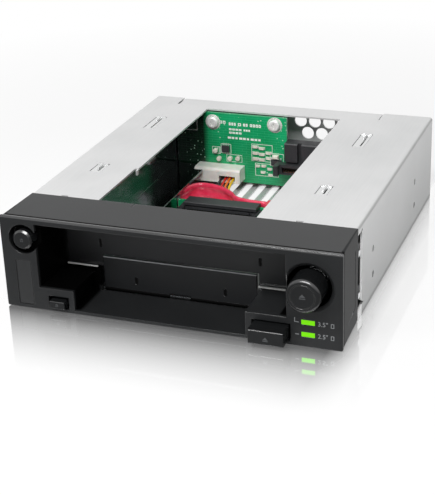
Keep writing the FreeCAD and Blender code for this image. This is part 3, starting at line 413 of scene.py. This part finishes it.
# painted shade: the sides are drawn darker than the top, and darker still towards the foot
SIDE_SHEET = (72.2, 72.8)
film = add(tree, "MapRange", Value=zone(tree, place, z=(0, 41)), To_Min=0.85, To_Max=0.15)
film = add(tree, "Math", {"operation": "MULTIPLY"}, _0=film.outputs["Result"],
           _1=zone(tree, place, side=SIDE_SHEET))
where(tree, skin, film.outputs[0], Base_Color=rgb("9C9D9D"))
# painted shade: a contact shadow along the foot, where the sides meet the paper, and a darker
# line in the bend at the top
foot_shadow_and_bend = zones(tree, place, dict(z=(2.2, 0.4), side=SIDE_SHEET, most=0.8),
             dict(z=(39.6, 40.4), side=SIDE_SHEET, most=0.45))
where(tree, skin, foot_shadow_and_bend, Base_Color=rgb("606161"))
# painted highlight: the sheared front edge of each side is drawn as a pure white line
where(tree, skin, zone(tree, place, y=(-58.3, -58.5), side=(72.0, 72.1), z=(37, 34)),
      Base_Color=rgb("FFFFFF"), Metallic=0.0)
dress(["case_shell", "rear_panel"], zinc)

# The floor is the same steel, with a black insulating film of polyester under the lower bay.
base = zinc.copy()
base.name = "galvanised steel with polyester film"
tree, skin, place = opened(base)
where(tree, skin, zone(tree, place, z=(0.6, 0.7), y=(20.2, 20.0)), Base_Color=rgb("0C0C0C"),
      Metallic=0.0)
dress(["floor_plate"], base)

# --- Rails --------------------------------------------------------------------------------
# The two stepped guides are bent from bright zinc-plated steel, smoother than the case, so
# they mirror the green board and the red lead. Fine draw lines run along them.
plated, tree, skin, place = surface("bright zinc-plated steel", Metallic=1.0)
# draw lines of 0.7 mm, wide enough to show
stretch = add(tree, "Mapping", Vector=place, Scale=(every(0.667), every(25), every(0.667)))
lines = add(tree, "TexNoise", Vector=stretch.outputs[0], Scale=1.0, Detail=2.0)
rough = add(tree, "MapRange", Value=lines.outputs["Fac"], To_Min=0.06, To_Max=0.14)
bend = add(tree, "Bevel", Radius=0.5 * MM)
fine = add(tree, "Bump", Height=lines.outputs["Fac"], Strength=0.06, Distance=0.03 * MM,
           Normal=bend.outputs[0])
wear_in(tree, skin, shades(tree, lines.outputs["Fac"], "84878A", "9A9D9F"),
        rough.outputs["Result"], fine.outputs["Normal"])
# the upper flanges, which show in the slots of the top, are given the case's paler satin zinc as
# painted light, so the slots read pale though the top shades the flanges
where(tree, skin, zone(tree, place, z=(40.2, 40.4)), Base_Color=rgb("DEDFDF"), Metallic=0.4)
# painted shade: the front edges are drawn black, where the doors close in front of them
where(tree, skin, zone(tree, place, y=(-63.5, -64.0)), Base_Color=rgb("141414"))
dress(["left_rail", "right_rail"], plated)

# --- Screws, pins, posts, springs and bars ------------------------------------------------
# Nickel-plated screws and standoffs, ground hinge pins, drawn spring wire and blanked eject
# bars. All are bright steel with small scuffs of half a millimetre.
steel = grained("bright nickel-plated steel", 0.526, "B9BBBD", "E2E3E4", 0.16, 0.34, detail=3.0,
                dent=(0.08, 0.03), Metallic=1.0)
dress(["rear_panel_screws", "case_clips", "upper_door_pin", "upper_door_springs",
       "eject_bar_35", "eject_spring_35", "pivot_post_35", "eject_springs_25", "eject_bar_25",
       "pivot_post_25", "board_standoffs"], steel)

# The return springs shorten as the knob and the key are pushed in. Each is drawn as a copy of its
# node, which is hidden, and rides on the cage.
for name, node, joint, stroke in (
        ("knob_return_spring", "eject_spring_35", "knob_slide", 8.0),
        ("key_return_springs", "eject_springs_25", "key_slide", 7.0)):
    low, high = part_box(node)
    coil = bpy.data.objects.new(name, nodes[node].data.copy())
    coil.matrix_world = nodes[node].matrix_world
    scene.collection.objects.link(coil)
    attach(coil, "cage")
    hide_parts(node)
    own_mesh(coil)

# The lower door's spring and pin are drawn music wire, given a dark tone as painted shade of the
# joint under the lower door.
dress(["lower_door_spring", "lower_door_pin"],
      grained("dark music wire in painted shade", 0.333, "3A3C3E", "56585A", 0.3, 0.45, Metallic=1.0))

# The board's screws are steel under a white zinc flake coat, which is dull and almost white.
dress(["board_screws"],
      grained("zinc flake coat on steel", 0.385, "EAEAE8", "FCFCFA", 0.35, 0.5, detail=3.0,
              dent=(0.15, 0.03), Metallic=0.3))

# --- Circuit boards -----------------------------------------------------------------------
# Glass-epoxy boards, 1.6 mm thick, under green solder mask. Tracks of a tenth of a millimetre
# lie square to the edges, 1.3 mm apart, and tinned via holes show as small bright dots.
mask, tree, skin, place = surface("green solder mask on glass epoxy", IOR=1.5)
spots = add(tree, "SeparateXYZ", Vector=place)
upright = add(tree, "CombineXYZ", X=spots.outputs["X"], Y=spots.outputs["Z"])
tracks = add(tree, "TexBrick", {"offset": 0.37}, Vector=upright.outputs[0], Scale=1.0,
             Mortar_Size=0.06 * MM, Brick_Width=6.1 * MM, Row_Height=1.3 * MM,
             Mortar_Smooth=0.3)
line = add(tree, "MapRange", Value=tracks.outputs["Fac"], To_Max=0.6)
blotch = add(tree, "TexNoise", Vector=place, Scale=every(14.3), Detail=2.0)
rough = add(tree, "MapRange", Value=line.outputs["Result"], To_Min=0.26, To_Max=0.36)
raised = add(tree, "Bump", Height=line.outputs["Result"], Strength=0.3, Distance=0.03 * MM)
wear_in(tree, skin, shades(tree, blotch.outputs["Fac"], "119258", "1CA86C"),
        rough.outputs["Result"], raised.outputs["Normal"])
where(tree, skin, line.outputs["Result"], Base_Color=rgb("30B880"))
# painted shadow: the board's left end, which lies in the shade of the top, is drawn much darker
where(tree, skin, zone(tree, place, x=(-38.5, -41.5)), Base_Color=rgb("062A16"))
holes = add(tree, "TexVoronoi", {"feature": "F1"}, Vector=place, Scale=every(2.083),
            Randomness=0.7)
via = add(tree, "MapRange", Value=holes.outputs["Distance"], From_Min=0.12, From_Max=0.17,
          To_Min=1.0, To_Max=0.0)
few = add(tree, "MapRange", Value=blotch.outputs["Fac"], From_Min=0.52, From_Max=0.56)
via = add(tree, "Math", {"operation": "MULTIPLY"}, _0=via.outputs["Result"],
          _1=few.outputs["Result"])
where(tree, skin, via.outputs[0], Base_Color=rgb("BFE6CF"))
dress(["rear_board", "backplane_25", "switch_board", "led_board"], mask)

# --- Print on the main board --------------------------------------------------------------
# White epoxy ink, screen printed: outlines round the packages, rows of plain dashes where such
# boards carry their notes, and rings round the screws. Inks of 0.04 mm stand on the mask.
board_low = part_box("rear_board")[0]
INK = 0.04
NOTE_STROKE = 0.42
PACKAGE_STROKE = 0.22


def solid(mesh, first, second):
    """Closed block between two loops."""
    mesh.faces.new(first)
    mesh.faces.new(list(reversed(second)))
    bridge(mesh, first, second)


def slab(mesh, x0, x1, z0, z1, y, deep):
    """Thin plate on an upright face, with its front at y and narrowed front edges."""
    inset = min(0.3 * deep, 0.2 * (x1 - x0), 0.2 * (z1 - z0))
    back = [mesh.verts.new((a * MM, y + deep * MM, b * MM))
            for a, b in ((x0, z0), (x1, z0), (x1, z1), (x0, z1))]
    face = [mesh.verts.new((a * MM, y, b * MM))
            for a, b in ((x0 + inset, z0 + inset), (x1 - inset, z0 + inset),
                         (x1 - inset, z1 - inset), (x0 + inset, z1 - inset))]
    solid(mesh, face, back)


def outline(mesh, x0, x1, z0, z1, y, deep, wide):
    """Four strokes round a rectangle."""
    slab(mesh, x0, x1, z0, z0 + wide, y, deep)
    slab(mesh, x0, x1, z1 - wide, z1, y, deep)
    slab(mesh, x0, x0 + wide, z0 + wide, z1 - wide, y, deep)
    slab(mesh, x1 - wide, x1, z0 + wide, z1 - wide, y, deep)


# Epoxy ink: opaque, chalky white, thinner where the screen's mesh of 0.3 mm held it back.
ink = grained("screen-printed epoxy ink", 0.3125, "E6EEE6", "FAFBF8", 0.5, 0.7, detail=1.0,
              IOR=1.5)
prints = bmesh.new()
face_y = board_low.y - INK * MM
# a tall row of open dashes and two lower rows, of uneven lengths, where 0 leaves a space
for z, tall, lengths in (
        (34.2, 1.5, (1.0, 1.0, 1.0, 0, 1.6, 0, 1.0, 1.0, 0, 1.2, 1.2, 1.2, 1.2)),
        (31.6, 1.0, (1.4, 1.4, 1.4, 1.4, 0, 0.9, 0.9, 0.9)),
        (29.8, 1.0, (1.4, 1.4, 1.4, 1.4))):
    x = -27.4
    for length in lengths:
        if length:
            outline(prints, x, x + length, z, z + tall, face_y, INK, NOTE_STROKE)
        x += (length or 0.5) + 0.35
# a row of solid dashes under the notes, and two open signs beside the left screw
for step in range(9):
    x = -28.2 + step * 2.05
    slab(prints, x, x + 1.7 - 0.25 * (step % 3), 27.0, 28.1, face_y, INK)
for x in (-32.4, -30.6):
    outline(prints, x, x + 1.4, 34.8, 36.3, face_y, INK, NOTE_STROKE)
for x0, x1, z0, z1 in ((-34.0, -32.4, 18.4, 22.2), (-32.1, -26.6, 19.0, 24.0),
                       (-36.9, -32.9, 18.3, 22.1), (-29.2, -20.8, 14.6, 18.6),
                       (-15.6, -4.4, 16.2, 25.4), (-5.8, 1.4, 14.4, 21.2),
                       (-13.8, -1.4, 8.4, 15.2), (-54.0, -44.6, 30.0, 37.4)):
    outline(prints, x0, x1, z0, z1, face_y, INK, PACKAGE_STROKE)
finish_mesh("board_print", prints, "cage", ink)

# Tinned copper: solder pads in pairs beside the small parts, and legs of the packages. Dipping
# leaves it bright, with shallow dimples where the solder drew back.
tin = grained("hot-dipped tin", 0.667, "E4E6E0", "FAFAF6", 0.15, 0.35, dent=(0.3, 0.08),
              Metallic=0.35)
pads = bmesh.new()


def pad(x, z, half_wide, half_tall, deep):
    """Block of solder on the main board."""
    slab(pads, x - half_wide, x + half_wide, z - half_tall, z + half_tall,
         board_low.y - deep * MM, deep)


for x, heights in ((-13.4, (24.0, 20.6, 17.6)), (-10.0, (23.4, 20.2, 17.4)),
                   (-6.4, (21.2, 18.4))):
    for z in heights:
        for side in (-1, 1):
            pad(x + side * 1.25, z, 0.45, 0.7, 0.6)
for x, z in ((-12.4, 13.8), (-9.2, 14.0), (-9.6, 10.6), (-6.0, 12.6), (-5.6, 9.4),
             (-2.6, 10.2)):
    for side in (-1, 1):
        pad(x + side * 1.0, z, 0.35, 0.6, 0.5)
for x0, x1, z0, z1, count in ((-31.4, -27.4, 19.8, 23.2, 4), (-4.8, 0.6, 15.2, 18.0, 5)):
    for step in range(count):
        x = x0 + (step + 0.5) * (x1 - x0) / count
        for z in (z0 - 0.55, z1 + 0.55):
            pad(x, z, 0.22, 0.55, 0.35)
finish_mesh("solder_pads", pads, "cage", tin)

# Rings of bare tinned copper round the screws, which earth the board.
RING_TURNS = 32
earths = bmesh.new()
for x, z in ((-36.0, 35.2), (-3.0, 36.2), (36.0, 9.5)):
    loops = []
    for radius, y in ((3.0, 0.0), (3.1, -0.1), (3.9, -0.1), (4.0, 0.0)):
        loops.append([earths.verts.new((
            (x + radius * math.cos(turn * math.tau / RING_TURNS)) * MM,
            board_low.y + y * MM,
            (z + radius * math.sin(turn * math.tau / RING_TURNS)) * MM))
            for turn in range(RING_TURNS)])
    for inner, outer in zip(loops, loops[1:] + loops[:1]):
        bridge(earths, inner, outer)
finish_mesh("earth_rings", earths, "cage", tin)

# --- Chips and small parts ----------------------------------------------------------------
# Chips are moulded in black epoxy, matt from the mould's eroded finish. They stand on the main
# board, soldered by their tinned legs.
dress(["board_chips"],
      grained("moulded black epoxy", 0.2, "2A2B2D", "3B3C3F", 0.45, 0.6, dent=(0.2, 0.03),
              IOR=1.55))

# Capacitors, resistors and the coil are fired ceramic, cream to grey, with glazed patches.
dress(["board_small_parts"],
      grained("fired ceramic", 2.38, "C9C7B8", "F2EFE2", 0.25, 0.5, detail=3.0, IOR=1.6))

# --- Drive sockets and rear ports ---------------------------------------------------------
# Glass-filled nylon, moulded black. The glass leaves the surface grey and slightly frosted.
# The front switches have housings of the same nylon.
dress(["front_switches", "socket_tower", "drive_socket_35", "drive_socket_25",
       "rear_data_port_a", "rear_data_port_b", "rear_power_port"],
      grained("glass-filled black nylon", 0.385, "27282A", "3A3B3D", 0.34, 0.52, detail=3.0,
              dent=(0.2, 0.04), IOR=1.53))

# Sprung contacts, 15 for power and 7 for data, stamped from phosphor bronze and gold plated.
# They stay bright, rubbed a little uneven by the drives' own contacts.
gold = grained("gold-plated bronze", 0.4, "C79A45", "E8C478", 0.15, 0.3, Metallic=1.0)
CONTACT_PITCH = 1.27
CONTACT_REACH = 3.0
SOCKET_WALL = 2.2
for name, socket, middle_x, middle_z in (("contacts_35", "drive_socket_35", 19.0, 15.7),
                                         ("contacts_25", "drive_socket_25", -15.9, 6.2)):
    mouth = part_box(socket)[1].y - (SOCKET_WALL + CONTACT_REACH) * MM
    pins = bmesh.new()
    for first, count in ((-14.8, 15), (8.0, 7)):
        for step in range(count):
            x = middle_x + first + step * CONTACT_PITCH
            slab(pins, x - 0.3, x + 0.3, middle_z - 0.85, middle_z - 0.25, mouth,
                 CONTACT_REACH)
    finish_mesh(name, pins, "cage", gold)

# --- Header and plug of the power leads ---------------------------------------------------
# Natural nylon, moulded without pigment: waxy off-white that lets a little light in. The
# header is soldered to the main board, and the plug sits behind the lower bay.
dress(["power_header", "power_plug"],
      grained("natural nylon", 3.85, "E3E4DC", "F6F6EF", 0.34, 0.48, IOR=1.53,
              Subsurface_Weight=0.15, Subsurface_Scale=2 * MM))

# --- Ledge noses --------------------------------------------------------------------------
# The ledges of both rails reach forward under the upper door. Their front edges are sheared and
# bare, and the noses are coloured near white as a painted highlight, so they show as two thin
# white lines.
sheared = grained("sheared steel edge", 1.11, "E2E2E0", "FAFAF8", 0.25, 0.4, Metallic=0.35)
LEDGE_LOW, LEDGE_HIGH = 11.4, 12.2
LEDGE_BACK = -66.3
NOSE_STEPS = 8
for side, x0, x1, front in (("left", -56.2, -41.6, -69.0), ("right", 31.8, 47.4, -70.0)):
    nose = bmesh.new()
    middle = (LEDGE_LOW + LEDGE_HIGH) / 2
    radius = (LEDGE_HIGH - LEDGE_LOW) / 2
    profile = [(LEDGE_BACK, LEDGE_HIGH), (LEDGE_BACK, LEDGE_LOW)]
    for step in range(NOSE_STEPS + 1):
        angle = (-0.5 - step / NOSE_STEPS) * math.pi
        profile.append((front + radius + radius * math.cos(angle),
                        middle + radius * math.sin(angle)))
    solid(nose, *[[nose.verts.new((x * MM, y * MM, z * MM)) for y, z in profile]
                  for x in (x0, x1)])
    finish_mesh("ledge_nose_" + side, nose, "cage", sheared)

# --- Bezel --------------------------------------------------------------------------------
# One injection moulding in black ABS. Its tool is spark eroded, so the faces have a fine grain
# of a quarter of a millimetre and a soft sheen, glossier where edges are handled.


def moulded(name, dark, light, smooth, dull, grain_mm, depth_mm, edge_mm=0.6, **sockets):
    """Moulded plastic with a spark grain, and with rounded edges that hands have polished."""
    made, tree, skin, place = surface(name, **sockets)
    edge = add(tree, "Bevel", Radius=edge_mm * MM)
    flat = add(tree, "NewGeometry")
    turn = add(tree, "VectorMath", {"operation": "DOT_PRODUCT"}, _0=edge.outputs[0],
               _1=flat.outputs["Normal"])
    rim = add(tree, "MapRange", Value=turn.outputs["Value"], From_Min=0.8, From_Max=0.99,
              To_Min=1.0, To_Max=0.0)
    cell = add(tree, "TexNoise", Vector=place, Scale=every(grain_mm), Detail=2.0)
    # the plastic's flow leaves patches of tone some 33 mm wide
    flow = add(tree, "TexNoise", Vector=place, Scale=every(33.3), Detail=2.0)
    dent = add(tree, "Bump", Height=cell.outputs["Fac"], Strength=0.25,
               Distance=depth_mm * MM, Normal=edge.outputs[0])
    rough = add(tree, "MapRange", Value=cell.outputs["Fac"], To_Min=smooth, To_Max=dull)
    wear_in(tree, skin, shades(tree, flow.outputs["Fac"], dark, light),
            rough.outputs["Result"], dent.outputs["Normal"])
    where(tree, skin, rim.outputs["Result"], Roughness=0.14, Specular_IOR_Level=1.0)
    return made


shell = moulded("spark-grained black ABS", "1A1B1C", "202122", 0.36, 0.5, 0.25, 0.03, IOR=1.5,
                Specular_IOR_Level=0.34)
tree, skin, place = opened(shell)
BEZEL_SIDE = (72.4, 72.7)
# the outer sides and the front face are duller than the edges
shine = skin.inputs["Specular IOR Level"].links[0].from_socket
for part, share in ((zone(tree, place, side=BEZEL_SIDE, y=(-91.0, -90.9)), 0.2),
                    (zone(tree, place, y=(-91.9, -92.05)), 0.45)):
    less = add(tree, "MapRange", Value=part, To_Min=1.0, To_Max=share)
    shine = add(tree, "Math", {"operation": "MULTIPLY"}, _0=shine,
                _1=less.outputs["Result"]).outputs[0]
tree.links.new(shine, skin.inputs["Specular IOR Level"])
# painted shade: the walls of the left bay and of the knob's recess are drawn near black, and a
# dark line of painted shade runs behind the lip, along the top and down both sides
bay_shade = add(tree, "Math", {"operation": "MULTIPLY"},
           _0=zones(tree, place, dict(x=(10, 0)), dict(x=(47.6, 48.2))),
           _1=zones(tree, place, dict(z=(3.0, 4.5)), dict(x=(-39, -41))))
bay_shade = zone(tree, place, bay_shade.outputs[0], y=(-91.6, -90.0), z=(39.5, 38.5), side=(70.5, 69.5))
lip_shadow_line = zones(tree, place, dict(z=(40.3, 40.6), y=(-88.4, -88.6)),
               dict(side=BEZEL_SIDE, y=(-87.3, -87.6)))
lip_shadow_line = zone(tree, place, lip_shadow_line, y=(-90.95, -90.9))
shade = add(tree, "Math", {"operation": "MAXIMUM"}, _0=bay_shade, _1=lip_shadow_line)
where(tree, skin, shade.outputs[0], Base_Color=rgb("030303"), Specular_IOR_Level=0.02)
# the lip's rounded upper edge is worn bright
where(tree, skin, zone(tree, place, y=(-90.9, -91.0), z=(41.0, 41.15)), Roughness=0.12,
      Specular_IOR_Level=1.0)
dress(["bezel"], shell)
# the blank insert at the bezel's left end is a moulding of its own, a little darker
dress(["blank_insert"], moulded("black ABS insert", "18191A", "1D1E1F", 0.34, 0.46, 0.25, 0.03,
                                IOR=1.5, Specular_IOR_Level=0.3))

# Numbers, an inch mark and a drive outline beside each light, and a short bracket before it,
# pad printed in pale grey ink on the bezel's face. The ink is matt, with a fine speckle.
pad_ink = grained("pale grey pad ink", 0.25, "6E7072", "85888A", 0.45, 0.6, detail=1.0, IOR=1.5)
PRINT_DEEP = 0.03
print_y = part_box("bezel")[0].y - PRINT_DEEP * MM
marks = bmesh.new()
for name, text, guide in (("number_35", "3.5\"", "led_guide_35"),
                          ("number_25", "2.5\"", "led_guide_25")):
    low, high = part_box(guide)
    middle = (low.z + high.z) / 2
    words = bpy.data.curves.new(name, "FONT")
    words.body = text
    words.size = 2.7 * MM
    words.extrude = 0.02 * MM
    words.align_y = "CENTER"
    label = put(name, words, "cage")
    label.rotation_euler = (math.pi / 2, 0, 0)
    label.location = (high.x + 1.2 * MM, print_y, middle - 0.1 * MM)
    words.materials.append(pad_ink)
    left, right, middle = low.x / MM, high.x / MM, middle / MM
    outline(marks, right + 6.6, right + 7.9, middle - 1.1, middle + 0.8, print_y, PRINT_DEEP,
            0.24)
    slab(marks, left - 2.6, left - 1.0, middle - 0.3, middle, print_y, PRINT_DEEP)
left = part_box("led_guide_35")[0].x / MM
slab(marks, left - 2.9, left - 2.6, 10.6, 12.6, print_y, PRINT_DEEP)
finish_mesh("bezel_marks", marks, "cage", pad_ink)

# --- Doors --------------------------------------------------------------------------------
# Both doors are black ABS from a tool with a coarser but shallower grain. They are a little
# darker than the bezel and as matt, so the room leaves only a soft, even sheen on them.
panel = moulded("shallow-grained black ABS", "17181A", "1D1E1F", 0.4, 0.5, 0.4, 0.02, IOR=1.5,
                Specular_IOR_Level=0.26)
dress(["upper_door", "lower_door"], panel)
tree, skin, place = opened(panel)
LOWER_FACE = (-68.6, -68.7)
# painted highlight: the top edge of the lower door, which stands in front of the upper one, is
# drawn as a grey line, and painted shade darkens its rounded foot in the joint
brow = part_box("lower_door")[1].z / MM
where(tree, skin, zone(tree, place, z=(brow - 0.45, brow - 0.35), y=LOWER_FACE),
      Base_Color=rgb("8E9092"))
where(tree, skin, zone(tree, place, z=(2.9, 2.6), y=LOWER_FACE), Base_Color=rgb("050505"),
      Specular_IOR_Level=0.03)

# Each door has two upright slots with round ends, sunk into its face, for the hands of the
# machine that fits it. A soft rim stands round each one, and the well is in deep shade.
void = grained("black ABS in deep shade", 0.25, "020202", "060606", 0.6, 0.8, IOR=1.5,
               Specular_IOR_Level=0.1)
SLOT_TURNS = 24
WELL_RADIUS = 0.55


def stadium(mesh, x, z, half, radius, y):
    """Upright loop with round ends."""
    loop = []
    for turn in range(SLOT_TURNS):
        angle = (turn + 0.5) * math.tau / SLOT_TURNS
        lift = half if math.sin(angle) > 0 else -half
        loop.append(mesh.verts.new(((x + radius * math.cos(angle)) * MM, y,
                                    (z + lift + radius * math.sin(angle)) * MM)))
    return loop


# the plates' fronts, since ribs stand further out than these
for door, front, slots, half in (("upper_door", -68.125, ((-39.9, 22.9), (32.5, 22.9)), 1.3),
                                 ("lower_door", -69.025, ((-23.7, 7.4), (16.9, 7.4)), 1.1)):
    face_y = front * MM
    rims = bmesh.new()
    wells = bmesh.new()
    for x, z in slots:
        loops = [stadium(rims, x, z, half, radius, face_y + y * MM)
                 for radius, y in ((0.85, 0.1), (0.75, -0.15), (0.6, -0.15), (0.45, 0.1))]
        for inner, outer in zip(loops, loops[1:] + loops[:1]):
            bridge(rims, inner, outer)
        solid(wells, *[stadium(wells, x, z, half, WELL_RADIUS, face_y + y * MM)
                       for y in (-0.04, 0.1)])
    finish_mesh(door + "_slot_rims", rims, door, panel)
    finish_mesh(door + "_slot_wells", wells, door, void)

# --- Knob, key and buttons ----------------------------------------------------------------
# Pushed parts are black ABS polished by use. Their rounding gets full specular only where it
# faces up or down, a painted highlight that gives each a bright crescent above and below.
pushed = moulded("hand-polished black ABS", "131415", "191A1B", 0.16, 0.24, 0.5, 0.01,
                 edge_mm=0.35, IOR=1.5, Specular_IOR_Level=0.16)
tree, skin, place = opened(pushed)
turned = add(tree, "SeparateXYZ", Vector=add(tree, "NewGeometry").outputs["Normal"])
crescent = 1.0
# neither square to the front nor edge-on to it, and turned up or down
for axis, start, full in (("Y", 0.25, 0.35), ("Y", 0.98, 0.92), ("Z", 0.25, 0.5)):
    facing = add(tree, "Math", {"operation": "ABSOLUTE"}, _0=turned.outputs[axis])
    step = add(tree, "MapRange", Value=facing.outputs[0], From_Min=min(start, full),
               From_Max=max(start, full), To_Min=float(start > full),
               To_Max=float(start < full))
    crescent = add(tree, "Math", {"operation": "MULTIPLY"}, _0=step.outputs["Result"],
                   _1=crescent).outputs[0]
# painted highlight: full specular on the up- and down-facing rounding only
where(tree, skin, crescent, Specular_IOR_Level=1.0)
dress(["eject_knob", "eject_key", "power_button", "release_button"], pushed)


def eject_sign(mesh, x, z, y, wide, deep):
    """Triangle over a bar, the common sign for eject."""
    half = wide / 2
    slab(mesh, x - half, x + half, z - 0.34 * wide, z - 0.18 * wide, y, deep)
    back = [mesh.verts.new((a * MM, y + deep * MM, b * MM))
            for a, b in ((x - half, z - 0.06 * wide), (x + half, z - 0.06 * wide),
                         (x, z + 0.5 * wide))]
    face = [mesh.verts.new((v.co.x, y, v.co.z)) for v in back]
    solid(mesh, face, back)


# Signs on the pushed parts, pad printed in a dim grey that stays quiet on the black. They sink
# a hundredth of a millimetre into the parts.
dim_ink = grained("dim grey pad ink", 0.25, "303234", "3A3C3E", 0.4, 0.6, detail=1.0, IOR=1.5)
SIGN_DEEP = PRINT_DEEP + 0.01
low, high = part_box("eject_knob")
for name, node, body, wide, z in (
        ("knob_sign", "eject_knob", "knob", 2.6, (low.z + high.z) / 2 / MM),
        ("key_sign", "eject_key", "key", 2.2, 4.75)):
    low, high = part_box(node)
    sign = bmesh.new()
    eject_sign(sign, (low.x + high.x) / 2 / MM, z, low.y - PRINT_DEEP * MM, wide, SIGN_DEEP)
    finish_mesh(name, sign, body, dim_ink)
for name, node, body, size in (("power_sign", "power_button", "power_button", 1.3),
                               ("release_sign", "release_button", "release_button", 1.1)):
    low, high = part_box(node)
    sign = bmesh.new()
    x = (low.x + high.x) / 2 / MM
    z = (low.z + high.z) / 2 / MM
    y = low.y - PRINT_DEEP * MM
    half = size / 2
    outline(sign, x - half, x + half, z - half, z + half, y, SIGN_DEEP, 0.2)
    slab(sign, x - 0.12, x + 0.12, z, z + 0.75 * size, y, SIGN_DEEP)
    finish_mesh(name, sign, body, dim_ink)

# --- Eject levers -------------------------------------------------------------------------
# Natural acetal, moulded: slippery, off-white, with a satin gloss. Each lever turns on a
# shouldered post beside its bay.
dress(["eject_lever_35", "eject_lever_25"],
      moulded("natural acetal", "CFCDC4", "DEDCD4", 0.3, 0.42, 0.8, 0.02, IOR=1.48))

# --- Status lights ------------------------------------------------------------------------
# Clear acrylic guides lit from behind by green lamps. Each window is an almost flat lime glow,
# with faint clouds of some two millimetres where the light spreads unevenly.
lit, tree, skin, place = surface("lit acrylic guide", Roughness=0.3,
                                 Emission_Color=rgb("7CE600"), Base_Color=rgb("1E4A05"),
                                 Specular_IOR_Level=0.1)
spread = add(tree, "TexNoise", Vector=place, Scale=every(2.38))
level = add(tree, "MapRange", Value=spread.outputs["Fac"], To_Min=0.8, To_Max=1.05)
tree.links.new(level.outputs["Result"], skin.inputs["Emission Strength"])
dress(["led_guide_35", "led_guide_25", "leds"], lit)

# --- End ----------------------------------------------------------------------------------
bpy.context.view_layer.update()
